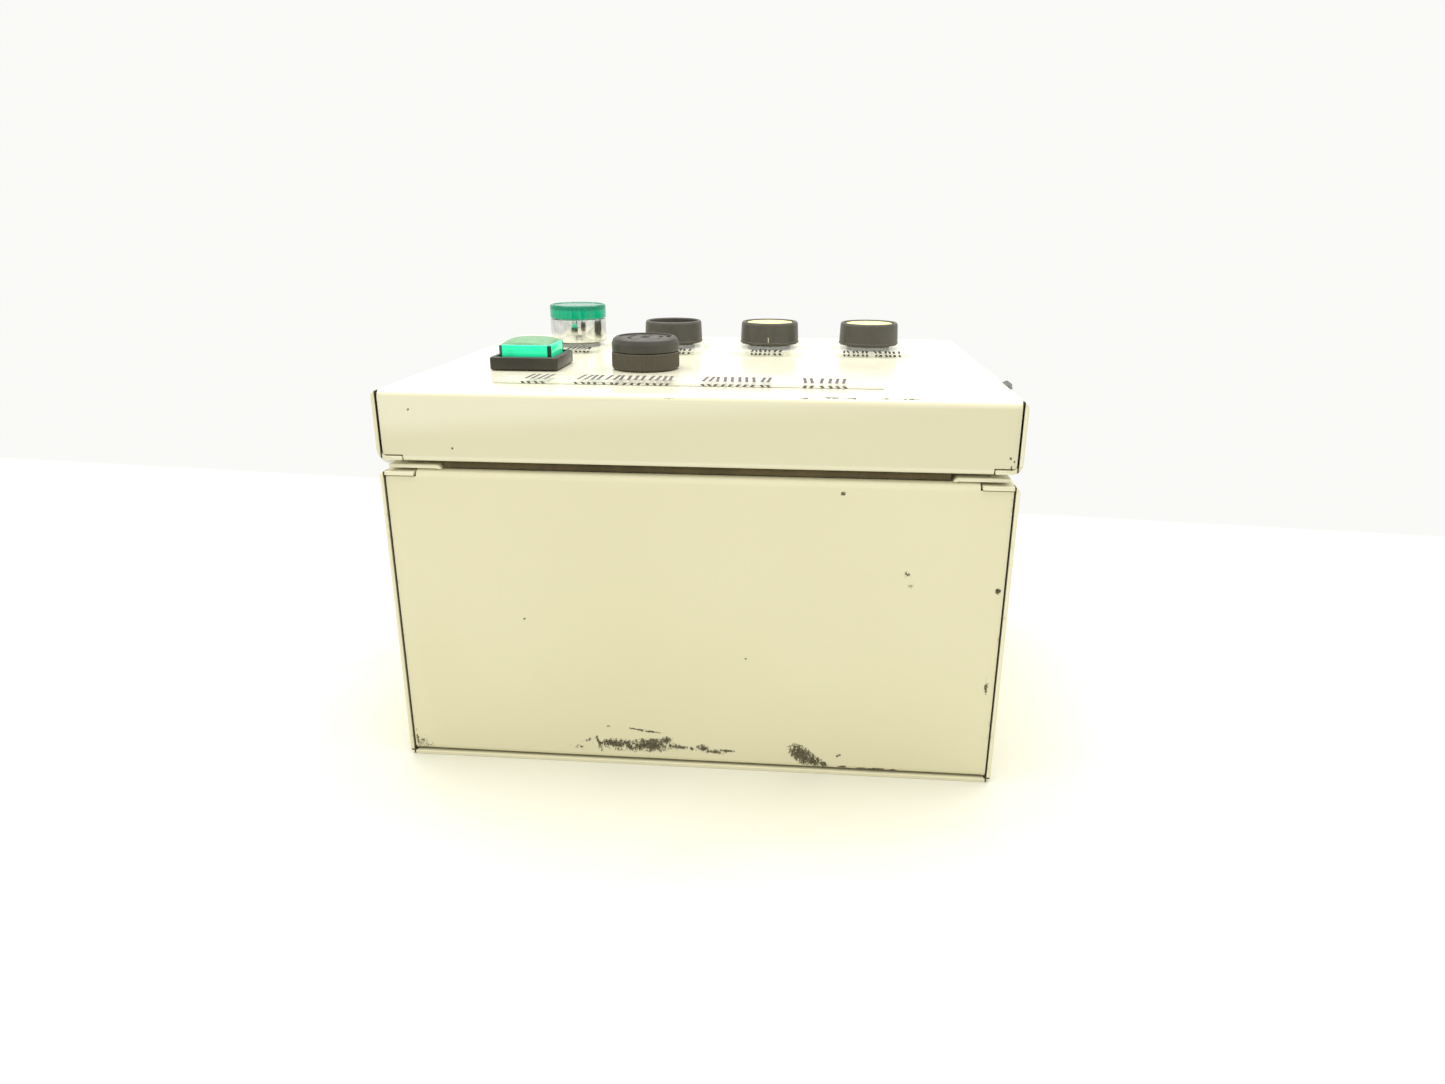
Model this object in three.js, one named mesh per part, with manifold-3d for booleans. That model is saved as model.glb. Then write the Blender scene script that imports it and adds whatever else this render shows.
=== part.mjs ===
// Magnetic motor starter: a sheet-steel enclosure lying on its back, with a
// hinged door that carries the operators, and the starter gear inside.
//
// Frame (millimetres): origin at the centre of the back (mounting) face,
// +Z out of the back towards the door, +X towards the latch side, -Y towards
// the end that is uppermost when the box hangs on a wall.

import * as THREE from 'three';
import { mergeVertices } from 'three/addons/utils/BufferGeometryUtils.js';
import Module from 'manifold-3d';

const wasm = await Module();
wasm.setup();

// ---------------------------------------------------------------- dimensions
const W = 250;                 // enclosure width, X
const L = 200;                 // enclosure length, Y
const H = 160;                 // back face to door skin, Z
const T = 1.6;                 // sheet thickness
const BODY_TOP = 127.8;        // top of the wrap's side flanges
const SIDE_FLANGE = 14;        // width of the wrap's side flanges
const SEAM = 0.5;              // gap between folded sheets
const INSET = 0.8;             // end walls sit this far inside the wrap's edge
const END_TOP = 128.6;         // top of the end walls' folded rim
const DOOR_Z0 = 132;           // lower edge of the door pan
const DOOR_RETURN = 10;        // side returns of the door pan
const HOLE_R = 11.3;           // 22 mm operator holes
const NECK_R = 10.8;           // neck of each operator

const FAR_X = [-78.4, -27.4, 23.3, 74.7];    // pilot light and push buttons
const FAR_Y = 53;
const NEAR_X = [-80.4, -28.6]; // square button and buzzer
const NEAR_Y = -29.5;

const PLATE = 1.8;             // legend plate thickness
const GAP = 0.3;               // clearance between touching pieces

const HINGE_X = -129.5;        // door hinge axis
const HINGE_Z = 130.2;
const HINGE_Y = [-60, 60];
const HINGE_LEN = 40;
const KNUCKLE_R = 4;
const PIN_R = 2;

const LATCH_P = [133, 140];    // lever pivot (x, z)
const LATCH_Q = [129.6, 146];  // bail pivot (x, z)

const PLATE_Z = 12;            // mounting plate, underside
const PLATE_T = 2;
const MOUNT_HOLE = [113.5, 72];  // back fixing holes (x, y)

// ------------------------------------------------------------------ helpers
function closed(geometry) {
  let g = geometry.clone();
  for (const name of Object.keys(g.attributes)) if (name !== 'position') g.deleteAttribute(name);
  g = mergeVertices(g, 1e-4);
  const p = g.attributes.position.array;
  const tri = [];
  for (let i = 0; i < g.index.count; i += 3) {
    const [a, b, c] = [g.index.array[i], g.index.array[i + 1], g.index.array[i + 2]];
    if (a !== b && b !== c && c !== a) tri.push(a, b, c);
  }
  let v = 0;
  for (let i = 0; i < tri.length; i += 3) {
    const [a, b, c] = [tri[i] * 3, tri[i + 1] * 3, tri[i + 2] * 3];
    v += p[a] * (p[b + 1] * p[c + 2] - p[b + 2] * p[c + 1])
       - p[a + 1] * (p[b] * p[c + 2] - p[b + 2] * p[c])
       + p[a + 2] * (p[b] * p[c + 1] - p[b + 1] * p[c]);
  }
  if (v < 0) for (let i = 0; i < tri.length; i += 3) [tri[i + 1], tri[i + 2]] = [tri[i + 2], tri[i + 1]];
  return new wasm.Manifold(new wasm.Mesh({ numProp: 3, vertProperties: Float32Array.from(p), triVerts: Uint32Array.from(tri) }));
}

function geometryOf(solid) {
  const m = solid.getMesh();
  const g = new THREE.BufferGeometry();
  const p = new Float32Array((m.vertProperties.length / m.numProp) * 3);
  for (let i = 0; i < p.length / 3; i++) for (let k = 0; k < 3; k++) p[i * 3 + k] = m.vertProperties[i * m.numProp + k];
  g.setAttribute('position', new THREE.BufferAttribute(p, 3));
  g.setIndex(Array.from(m.triVerts));
  g.computeVertexNormals();
  return g;
}

const join = (...s) => s.reduce((a, b) => a.add(b));
const cut = (a, ...s) => s.reduce((r, b) => r.subtract(b), a);

function box(x0, x1, y0, y1, z0, z1) {
  const g = new THREE.BoxGeometry(x1 - x0, y1 - y0, z1 - z0);
  g.translate((x0 + x1) / 2, (y0 + y1) / 2, (z0 + z1) / 2);
  return closed(g);
}

// upright round shape from a closed or axis-to-axis profile of [radius, z]
function lathe(profile, segments = 28, x = 0, y = 0) {
  const g = new THREE.LatheGeometry(profile.map(([r, z]) => new THREE.Vector2(r, z)), segments);
  g.rotateX(Math.PI / 2);
  g.translate(x, y, 0);
  return closed(g);
}
const disc = (r, z0, z1, x = 0, y = 0, segments = 28) => lathe([[0, z0], [r, z0], [r, z1], [0, z1]], segments, x, y);
const tube = (r0, r1, z0, z1, x = 0, y = 0, segments = 28) => lathe([[r0, z0], [r1, z0], [r1, z1], [r0, z1], [r0, z0]], segments, x, y);

// round bar along Y or X
function barY(r, y0, y1, x, z, segments = 16) {
  const g = new THREE.CylinderGeometry(r, r, y1 - y0, segments);
  g.translate(x, (y0 + y1) / 2, z);
  return closed(g);
}
function barX(r, x0, x1, y, z, segments = 16) {
  const g = new THREE.CylinderGeometry(r, r, x1 - x0, segments);
  g.rotateZ(Math.PI / 2);
  g.translate((x0 + x1) / 2, y, z);
  return closed(g);
}

// prism: outline [[a, b], ...] swept along one axis
function prism(outline, axis, s0, s1) {
  const shape = new THREE.Shape(outline.map(([a, b]) => new THREE.Vector2(a, b)));
  const g = new THREE.ExtrudeGeometry(shape, { depth: s1 - s0, bevelEnabled: false });
  if (axis === 'Z') g.translate(0, 0, s0);
  if (axis === 'Y') { g.rotateX(Math.PI / 2); g.translate(0, s1, 0); }                       // outline is (x, z)
  if (axis === 'X') {                                                                        // outline is (y, z)
    g.applyMatrix4(new THREE.Matrix4().set(0, 0, 1, s0, 1, 0, 0, 0, 0, 1, 0, 0, 0, 0, 0, 1));
  }
  return closed(g);
}

// folded sheet: outer path with a bend radius at each inner corner, thickness t
// measured to the left (side = 1) or the right (side = -1) of the path
function sheet(path, t, radius, side = 1, steps = 5) {
  const outer = [], inner = [];
  const n = path.length;
  const dir = (a, b) => { const l = Math.hypot(b[0] - a[0], b[1] - a[1]); return [(b[0] - a[0]) / l, (b[1] - a[1]) / l]; };
  const left = ([x, y]) => [-y * side, x * side];
  for (let i = 0; i < n; i++) {
    if (i === 0 || i === n - 1) {
      const d = i === 0 ? dir(path[0], path[1]) : dir(path[n - 2], path[n - 1]);
      const m = left(d);
      outer.push(path[i]);
      inner.push([path[i][0] + m[0] * t, path[i][1] + m[1] * t]);
      continue;
    }
    const d0 = dir(path[i - 1], path[i]), d1 = dir(path[i], path[i + 1]);
    const r = Array.isArray(radius) ? radius[i - 1] : radius;
    const turn = Math.acos(Math.min(1, Math.max(-1, d0[0] * d1[0] + d0[1] * d1[1])));
    const back = r * Math.tan(turn / 2);
    const m0 = left(d0);
    const start = [path[i][0] - d0[0] * back, path[i][1] - d0[1] * back];
    const c = [start[0] + m0[0] * r, start[1] + m0[1] * r];
    for (let k = 0; k <= steps; k++) {
      const a = (turn * k / steps) * side;
      const v = [start[0] - c[0], start[1] - c[1]];
      const q = [v[0] * Math.cos(a) - v[1] * Math.sin(a), v[0] * Math.sin(a) + v[1] * Math.cos(a)];
      outer.push([c[0] + q[0], c[1] + q[1]]);
      inner.push([c[0] + q[0] * (r - t) / r, c[1] + q[1] * (r - t) / r]);
    }
  }
  return outer.concat(inner.reverse());
}

// round section swept along a smooth route
function cable(points, r, steps, sides = 8) {
  const curve = new THREE.CatmullRomCurve3(points.map((p) => new THREE.Vector3(...p)), false, 'centripetal');
  const shape = new THREE.Shape();
  for (let i = 0; i < sides; i++) {
    const a = (i / sides) * Math.PI * 2;
    if (i === 0) shape.moveTo(r * Math.cos(a), r * Math.sin(a)); else shape.lineTo(r * Math.cos(a), r * Math.sin(a));
  }
  shape.closePath();
  return closed(new THREE.ExtrudeGeometry(shape, { extrudePath: curve, steps, bevelEnabled: false }));
}

// ---------------------------------------------------------------- materials
const paint = () => new THREE.MeshStandardMaterial({ color: 0xe6dfbd, roughness: 0.45, metalness: 0.0 });
const black = () => new THREE.MeshStandardMaterial({ color: 0x23211f, roughness: 0.5, metalness: 0.0 });
const steel = () => new THREE.MeshStandardMaterial({ color: 0xb9babb, roughness: 0.35, metalness: 1.0 });
const chrome = () => new THREE.MeshStandardMaterial({ color: 0xd9dadb, roughness: 0.15, metalness: 1.0 });
const foam = () => new THREE.MeshStandardMaterial({ color: 0x2b2822, roughness: 0.95, metalness: 0.0 });
const clear = () => new THREE.MeshStandardMaterial({ color: 0xf2f3ee, roughness: 0.15, metalness: 0.0, transparent: true, opacity: 0.5 });
const green = () => new THREE.MeshStandardMaterial({ color: 0x12a070, roughness: 0.2, metalness: 0.0 });
const ivory = () => new THREE.MeshStandardMaterial({ color: 0xf3e6ad, roughness: 0.4, metalness: 0.0 });
const zinc = () => new THREE.MeshStandardMaterial({ color: 0xc6c2b4, roughness: 0.4, metalness: 0.9 });
const phenolic = () => new THREE.MeshStandardMaterial({ color: 0x2f2d2a, roughness: 0.55, metalness: 0.0 });
const beige = () => new THREE.MeshStandardMaterial({ color: 0xd8d2c0, roughness: 0.5, metalness: 0.0 });
const copper = () => new THREE.MeshStandardMaterial({ color: 0x8a4a25, roughness: 0.5, metalness: 0.6 });
const rubber = () => new THREE.MeshStandardMaterial({ color: 0x1f1e1d, roughness: 0.85, metalness: 0.0 });
const red = () => new THREE.MeshStandardMaterial({ color: 0xb3261e, roughness: 0.4, metalness: 0.0 });
const wire = () => new THREE.MeshStandardMaterial({ color: 0x8d8f2c, roughness: 0.5, metalness: 0.0 });

const object = new THREE.Group();
const enclosure = new THREE.Group();
const door = new THREE.Group();
object.add(enclosure, door);

function place(group, name, solid, material, x = 0, y = 0, z = 0) {
  const mesh = new THREE.Mesh(geometryOf(solid), material);
  mesh.name = name;
  mesh.position.set(x, y, z);
  group.add(mesh);
  return mesh;
}

// ---------------------------------------------------------------- enclosure
// Wrap: left wall, back and right wall in one folded sheet, flanges turned in,
// with four welded shoulder studs for the mounting plate.
{
  const hw = W / 2;
  const outline = sheet([
    [-hw + SIDE_FLANGE, BODY_TOP], [-hw, BODY_TOP], [-hw, 0], [hw, 0], [hw, BODY_TOP], [hw - SIDE_FLANGE, BODY_TOP],
  ], T, [2.6, 3, 3, 2.6], 1, 4);
  let wrap = prism(outline, 'Y', -L / 2, L / 2);
  for (const sx of [-1, 1]) for (const sy of [-1, 1]) {
    wrap = join(wrap, disc(5, 1, PLATE_Z - GAP, sx * 98, sy * 58, 10), disc(3, 1, 20.5, sx * 98, sy * 58, 8));
    wrap = cut(wrap, disc(3.5, -1, 3, sx * MOUNT_HOLE[0], sy * MOUNT_HOLE[1], 12));
  }
  place(enclosure, 'body_wrap', wrap, paint());
}

// End walls: folded pans set just inside the wrap, rim turned in at the top.
function endWall(holes) {
  const y0 = -L / 2 + INSET, x1 = W / 2 - T - SEAM, z0 = T + SEAM;
  const xr = W / 2 - SIDE_FLANGE - 0.6;
  const full = sheet([[y0 + 12, z0], [y0, z0], [y0, END_TOP], [y0 + 14.5, END_TOP]], T, [2.2, 3.2], -1, 5);
  let wall = prism(full, 'X', -xr, xr);
  const low = sheet([[y0 + 12, z0], [y0, z0], [y0, 125.8]], T, [2.2], -1, 5);
  for (const s of [-1, 1]) {
    wall = join(wall, s < 0 ? prism(low, 'X', -x1, -xr + 0.5) : prism(low, 'X', xr - 0.5, x1));
    wall = join(wall, s < 0 ? box(-x1, -x1 + T, y0 + 0.4, y0 + 13, z0 + 0.4, 125.8) : box(x1 - T, x1, y0 + 0.4, y0 + 13, z0 + 0.4, 125.8));
  }
  if (holes) for (const x of holes) {
    const g = new THREE.CylinderGeometry(11.2, 11.2, 6, 24);
    g.translate(x, y0 + 0.8, 52);
    wall = cut(wall, closed(g));
  }
  return wall;
}
const ENTRY_X = [-30, 30];
place(enclosure, 'end_wall_top', endWall(null), paint());
{
  const m = place(enclosure, 'end_wall_bottom', endWall(ENTRY_X.map((x) => -x)), paint());
  m.rotation.z = Math.PI;
}

// Rubber blanking grommets in the cable entries of the lower end wall.
ENTRY_X.forEach((x, i) => {
  const g = lathe([[0, -3.2], [13.4, -3.2], [13.4, -1.1], [10.9, -1.1], [10.9, 1.1], [13.4, 1.1], [12.6, 2.6], [0, 3.2]], 16);
  const m = place(enclosure, `cable_grommet_${i + 1}`, g, rubber(), x, L / 2 - INSET - T / 2, 52);
  m.rotation.x = -Math.PI / 2;
});

// Side rails: angles that carry the door's side gaskets.
for (const s of [-1, 1]) {
  const z1 = 130.5;
  const path = s > 0 ? [[121.5, z1], [100, z1], [100, 117]] : [[-121.5, z1], [-100, z1], [-100, 117]];
  const outline = sheet(path, T, 2.2, s, 4);
  let rail = prism(outline, 'Y', -98, 98);
  rail = cut(rail, s > 0 ? box(99, 103, -99, -83.8, 100, 128.8) : box(-103, -99, -99, -83.8, 100, 128.8),
    s > 0 ? box(99, 103, 83.8, 99, 100, 128.8) : box(-103, -99, 83.8, 99, 100, 128.8));
  place(enclosure, s > 0 ? 'side_rail_right' : 'side_rail_left', rail, paint());
}

// Door gasket: four foam strips.
place(enclosure, 'gasket_near', box(-99.4, 99.4, -96.4, -88, 128.9, 131.7), foam());
place(enclosure, 'gasket_far', box(-99.4, 99.4, 88, 96.4, 128.9, 131.7), foam());
place(enclosure, 'gasket_left', box(-118, -112.5, -86.5, 86.5, 130.8, 132.1), foam());
place(enclosure, 'gasket_right', box(112.5, 118, -86.5, 86.5, 130.8, 132.1), foam());

// Mounting plate on the studs, and its four nuts.
{
  let plate = box(-106, 106, -80, 80, PLATE_Z, PLATE_Z + PLATE_T);
  for (const sx of [-1, 1]) for (const sy of [-1, 1]) plate = cut(plate, disc(3.4, PLATE_Z - 1, PLATE_Z + 4, sx * 98, sy * 58, 10));
  place(enclosure, 'mounting_plate', plate, zinc());
  let n = 1;
  for (const sy of [-1, 1]) for (const sx of [-1, 1]) {
    const nut = cut(disc(5.77, 0, 4.6, 0, 0, 6), disc(3.35, -1, 6, 0, 0, 12));
    place(enclosure, `plate_nut_${n++}`, nut, steel(), sx * 98, sy * 58, PLATE_Z + PLATE_T + GAP);
  }
}

// Circuit protector, screwed to the plate, with its toggle.
const BASE_Z = PLATE_Z + PLATE_T + GAP;
{
  const yc = -30;
  const zb = BASE_Z;
  let body = join(box(-88, -52, yc - 38, yc + 38, zb, zb + 50), box(-88, -52, yc - 22, yc + 22, zb + 48, zb + 60));
  for (const x of [-79, -61]) for (const s of [-1, 1]) body = cut(body, disc(3.6, zb + 38, zb + 58, x, yc + s * 31, 16));
  place(enclosure, 'circuit_protector', body, phenolic());
  const toggle = join(barX(3.4, -81, -59, 0, 0), box(-76, -64, -2.2, 2.2, 0, 13));
  place(enclosure, 'protector_toggle', toggle, black(), 0, yc, zb + 64).rotation.x = 18 * Math.PI / 180;
}

// Contactor: base with the fixed magnet and its coil, moulded contact
// housing, and the armature carrier that drops when the coil pulls in.
{
  const xc = 40, yc = -31;
  const z0 = BASE_Z;
  let base = box(xc - 25, xc + 25, yc - 39, yc + 39, z0, 50);
  base = cut(base, box(xc - 22, xc + 22, yc - 36, yc + 36, z0 + 3, 51));
  place(enclosure, 'contactor_base', base, phenolic());
  let core = box(xc - 18, xc + 18, yc - 6, yc + 6, z0 + 3.3, 48);
  core = cut(core, box(xc - 12.5, xc - 4.5, yc - 7, yc + 7, z0 + 8, 49), box(xc + 4.5, xc + 12.5, yc - 7, yc + 7, z0 + 8, 49));
  place(enclosure, 'magnet_core', core, steel());
  let coil = box(xc - 12, xc + 12, yc - 14, yc + 14, z0 + 8.4, 45);
  coil = cut(coil, box(xc - 5, xc + 5, yc - 6.5, yc + 6.5, z0 + 8, 46));
  place(enclosure, 'magnet_coil', coil, copper());

  let housing = box(xc - 23, xc + 23, yc - 21, yc + 21, 50.3, 90);
  housing = join(housing, box(xc - 25, xc + 25, yc - 39, yc + 39, 50.3, 62));
  for (const dx of [-25, -9.2, 6.2, 22]) housing = join(housing, box(xc + dx, xc + dx + 3, yc - 39, yc + 39, 61, 76));
  for (const dx of [-15.6, -0.1, 15.4]) for (const s of [-1, 1]) housing = cut(housing, disc(3, 55, 63, xc + dx, yc + s * 30, 12));
  housing = cut(housing, box(xc - 20, xc + 20, yc - 18, yc + 18, 49, 86), box(xc - 6, xc + 6, yc - 5, yc + 5, 85, 91));
  place(enclosure, 'contactor_housing', housing, phenolic());
  const armature = join(box(xc - 18, xc + 18, yc - 6, yc + 6, 54.5, 64), box(xc - 5.6, xc + 5.6, yc - 4.6, yc + 4.6, 63, 91));
  place(enclosure, 'contactor_armature', armature, beige());
}

// Thermal overload relay below the contactor, with its copper links.
{
  const xc = 40;
  let relay = join(box(xc - 23, xc + 23, 12, 55, BASE_Z, 70), box(xc - 23, xc + 23, 54, 67, BASE_Z, 44));
  for (const dx of [-23, -8.4, 5.8, 20.4]) relay = join(relay, box(xc + dx, xc + dx + 2.6, 54, 67, 43, 56));
  for (const dx of [-15.6, -0.1, 15.4]) {
    relay = join(relay, box(xc + dx - 2.5, xc + dx + 2.5, -0.5, 13, 63, 65));
    relay = cut(relay, disc(3, 38, 45, xc + dx, 61, 12));
  }
  relay = cut(relay, disc(4.2, 60, 71, xc + 11, 34, 20), disc(6.4, 68.6, 71, xc - 9, 34, 24));
  place(enclosure, 'overload_relay', relay, phenolic());
  let dial = disc(5.9, 0, 3.4, 0, 0, 24);
  dial = cut(dial, box(-4.5, 4.5, -0.6, 0.6, 2.2, 4));
  place(enclosure, 'overload_dial', dial, beige(), xc - 9, 34, 68.9);
  place(enclosure, 'overload_reset', disc(3.8, 0, 8, 0, 0, 20), red(), xc + 11, 34, 64.6);
}

// Terminal block for the incoming and outgoing conductors.
{
  let block = join(box(-92, -2, 42, 70, BASE_Z, 28), box(-92, -2, 52, 60, 27, 33));
  for (let i = 0; i <= 8; i++) {
    const x = -92 + i * 11;
    block = join(block, box(x, x + 2, 42, 70, 27, 38));
  }
  place(enclosure, 'terminal_block', block, phenolic());
}

// Internal loom: from the terminal block to the contactor and the protector.
{
  const z = 21;
  const trunk = cable([[-86, 35, z], [-60, 35, z], [-20, 35, z], [-6, 33, z], [2, 26, z], [4, 10, z], [4, -40, z], [4, -66, z], [8, -75.5, z + 2], [18, -76, z + 10], [24.4, -76, z + 26], [24.4, -76, 60], [24.4, -74.5, 67.5], [24.4, -69, 70.6], [24.4, -62, 70.6]], 3.2, 30, 6);
  const toProtector = cable([[4, -20, z], [3, -45, z + 1], [-6, -64, z + 4], [-30, -74, z + 12], [-55, -74, z + 24], [-61, -73, 52], [-61, -73, 62], [-61, -72, 68], [-61, -68, 71], [-61, -62, 71]], 2.2, 20, 6);
  const toOverload = cable([[-16, 35, z], [-4, 35.5, z], [4, 40, z], [6, 54, z + 3], [10, 67, z + 10], [19, 73, z + 20], [24.4, 72, 45], [24.4, 66, 50.8], [24.4, 61, 50.8]], 2.2, 18, 6);
  place(enclosure, 'wire_loom', join(trunk, toProtector, toOverload), wire());
}

// Door loom: leaves the enclosure loom beside the terminal block, runs beside
// the hinge, and ends on the door's inner face.
place(enclosure, 'door_loom', cable([
  [-96, 30, 18], [-96.4, 40, 22], [-96.5, 54, 27], [-96.4, 68, 36], [-96.2, 75, 57], [-96.2, 76, 85], [-96.2, 68, 106], [-96.2, 40, 116], [-96.2, 0, 128], [-96.2, -40, 141], [-95, -56, 150], [-84, -62, 153.5], [-60, -62, 153.5], [-40, -56, 153.5],
], 2.7, 34, 6), wire());

// ------------------------------------------------------------------ hinges
HINGE_Y.forEach((yc, i) => {
  const h = HINGE_LEN / 2, k = 6.8;
  const x0 = -W / 2 - GAP - T, x1 = -W / 2 - GAP;
  const R = KNUCKLE_R;
  let lower = box(x0, x1, yc - h, yc + h, HINGE_Z - 26, HINGE_Z - R - 0.4);
  lower = join(lower, box(x0, x1, yc - h, yc - k, HINGE_Z - 6, HINGE_Z), box(x0, x1, yc + k, yc + h, HINGE_Z - 6, HINGE_Z));
  lower = join(lower, barY(R, yc - h, yc - k, HINGE_X, HINGE_Z, 14), barY(R, yc + k, yc + h, HINGE_X, HINGE_Z, 14));
  lower = cut(lower, barY(PIN_R + GAP, yc - h - 1, yc + h + 1, HINGE_X, HINGE_Z, 12));
  place(enclosure, `hinge_leaf_body_${i + 1}`, lower, steel());

  let upper = box(x0, x1, yc - h, yc + h, HINGE_Z + R + 0.4, HINGE_Z + 24);
  upper = join(upper, box(x0, x1, yc - k + 0.4, yc + k - 0.4, HINGE_Z, HINGE_Z + 6), barY(R, yc - k + 0.4, yc + k - 0.4, HINGE_X, HINGE_Z, 14));
  upper = cut(upper, barY(PIN_R + GAP, yc - h - 1, yc + h + 1, HINGE_X, HINGE_Z, 12));
  place(door, `hinge_leaf_door_${i + 1}`, upper, steel());

  place(enclosure, `hinge_pin_${i + 1}`, join(barY(PIN_R, yc - h - 1.2, yc + h + 1.2, HINGE_X, HINGE_Z, 12), barY(3.2, yc - h - 2.4, yc - h - 0.6, HINGE_X, HINGE_Z, 12)), steel());
});

// -------------------------------------------------------------------- door
{
  const hw = W / 2, z1 = H;
  const side = sheet([[-hw + DOOR_RETURN, DOOR_Z0 + 0.5], [-hw, DOOR_Z0 + 0.5], [-hw, z1], [hw, z1], [hw, DOOR_Z0 + 0.5], [hw - DOOR_RETURN, DOOR_Z0 + 0.5]].map((p) => p),
    T, [4, 2.6, 2.6, 4], -1, 4);
  let pan = prism(side, 'Y', -L / 2, L / 2);
  const xi = hw - T, yn = -L / 2 + 0.7;
  pan = cut(pan, box(-xi, xi, -L / 2 - 1, yn + 3.4, z1 - 3, z1 + 1), box(-xi, xi, -yn - 3.4, L / 2 + 1, z1 - 3, z1 + 1));
  const end = sheet([[yn + 12, DOOR_Z0], [yn, DOOR_Z0], [yn, z1], [-yn, z1], [-yn, DOOR_Z0], [-yn - 12, DOOR_Z0]], T, [2, 3, 3, 2], -1, 4);
  let panEnd = prism(end, 'X', -xi + SEAM, xi - SEAM);
  const xn = hw - DOOR_RETURN - 0.4;
  panEnd = cut(panEnd, box(-xi - 1, -xn, -L, L, DOOR_Z0 - 1, DOOR_Z0 + 2.6), box(xn, xi + 1, -L, L, DOOR_Z0 - 1, DOOR_Z0 + 2.6));
  pan = join(pan, panEnd);
  for (const x of FAR_X) pan = cut(pan, disc(HOLE_R, z1 - 4, z1 + 2, x, FAR_Y, 20));
  for (const x of NEAR_X) pan = cut(pan, disc(HOLE_R, z1 - 4, z1 + 2, x, NEAR_Y, 20));
  place(door, 'door_pan', pan, paint());
}

// Name plate (blank) and the legend plates under the far row.
place(door, 'label_plate', box(-83, 74, -79.5, -59.5, H + GAP, H + GAP + 1.3), clear());
FAR_X.forEach((x, i) => {
  const r = 3;
  const outline = [];
  for (const [cx, cy, a0] of [[15, 15, 0], [-15, 15, 90], [-15, -35, 180], [15, -35, 270]]) {
    for (let k = 0; k <= 2; k++) {
      const a = (a0 + k * 45) * Math.PI / 180;
      outline.push([cx + r * Math.cos(a), cy + r * Math.sin(a)]);
    }
  }
  place(door, `legend_plate_${i + 1}`, cut(prism(outline, 'Z', 0, PLATE), disc(HOLE_R, -1, 3, 0, 0, 20)), clear(), x, FAR_Y, H + GAP);
});

const SEAT = H + GAP + PLATE + GAP;          // underside of the far-row operators
const REAR = H - T - GAP;                    // where the rear bodies meet the panel

// Pilot light: metal bezel with its lamp holder, and the lens.
{
  const housing = lathe([[0, 116], [11.8, 116], [11.8, REAR - 6], [13.6, REAR - 6], [13.6, REAR], [NECK_R, REAR], [NECK_R, SEAT], [14.7, SEAT], [14.7, 173.6], [13.9, 174], [0, 174]], 20);
  place(door, 'pilot_housing', housing, chrome(), FAR_X[0], FAR_Y);
  const lens = lathe([[0, 174.3], [14.2, 174.3], [14.6, 175.1], [14.6, 180.3], [13.9, 181.1], [0, 181.3]], 20);
  place(door, 'pilot_lens', lens, green(), FAR_X[0], FAR_Y);
}

// Push buttons: guard ring and body, sprung cap, and the contact block behind.
[1, 2, 3].forEach((k) => {
  const x = FAR_X[k];
  const top = 173.5;
  const guard = lathe([[8.2, 148], [NECK_R, 148], [NECK_R, SEAT], [15.2, SEAT], [15.2, SEAT + 1.2], [14.6, top - 0.8], [14.0, top], [13.1, top], [12.8, top - 0.8], [12.8, 163.6], [8.2, 163.6], [8.2, 148]], 20);
  place(door, `button_guard_${k}`, guard, black(), x, FAR_Y);
  const capTop = k === 1 ? 169.4 : 173.0;
  const under = k === 1 ? 167.0 : 169.2;
  const cap = lathe([[0, 152.8], [7.7, 152.8], [7.7, under], [12.4, under], [12.4, capTop - 0.7], [11.7, capTop], [0, capTop]], 20);
  place(door, `button_cap_${k}`, cap, k === 1 ? black() : ivory(), x, FAR_Y);
  let block = join(box(-13, 13, -17, 17, 108, 147), disc(14.4, 146, REAR, 0, 0, 20));
  block = cut(block, disc(11.2, 147.2, REAR + 1, 0, 0, 20));
  place(door, `contact_block_${k}`, block, phenolic(), x, FAR_Y);
});

// Square illuminated button: bezel with lamp holder, and the sprung lens.
{
  const h = 15.2;
  let bezel = box(-h, h, -h, h, H + GAP, 166);
  bezel = cut(bezel, box(-12.1, 12.1, -12.1, 12.1, 161.6, 167));
  bezel = join(bezel, disc(NECK_R, REAR - 2, H + 1, 0, 0, 20), box(-11.8, 11.8, -11.8, 11.8, 114, REAR), disc(13.2, REAR - 7, REAR, 0, 0, 20));
  place(door, 'square_bezel', bezel, black(), NEAR_X[0], NEAR_Y);
  const s = 11.75, c = 1.6;
  const outline = [[s, -s + c], [s, s - c], [s - c, s], [-s + c, s], [-s, s - c], [-s, -s + c], [-s + c, -s], [s - c, -s]];
  const g = new THREE.SphereGeometry(36, 24, 20);
  g.rotateX(Math.PI / 2);
  g.translate(0, 0, 173.6 - 36);
  const lens = prism(outline, 'Z', 165.0, 175).intersect(closed(g)).add(prism(outline, 'Z', 165.0, 170.4));
  place(door, 'square_lens', lens, green(), NEAR_X[0], NEAR_Y);
}

// Buzzer: ribbed base with its sounder body, and the pierced cover.
{
  const base = lathe([[0, 130], [12.6, 130], [12.6, REAR - 7], [13.6, REAR - 7], [13.6, REAR], [NECK_R, REAR], [NECK_R, H + GAP], [14.6, H + GAP], [15.1, H + 1.3], [15.1, 167.8], [0, 167.8]], 20);
  place(door, 'buzzer_base', base, black(), NEAR_X[1], NEAR_Y);
  const cover = lathe([[0, 168.1], [14.6, 168.1], [14.9, 168.6], [14.9, 171.6], [14.4, 173.1], [13.2, 174.1], [12.0, 174.4], [11.6, 173.8], [2.2, 173.8], [2.2, 172.4], [0, 172.4]], 20);
  place(door, 'buzzer_cover', cover, black(), NEAR_X[1], NEAR_Y);
}

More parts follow.
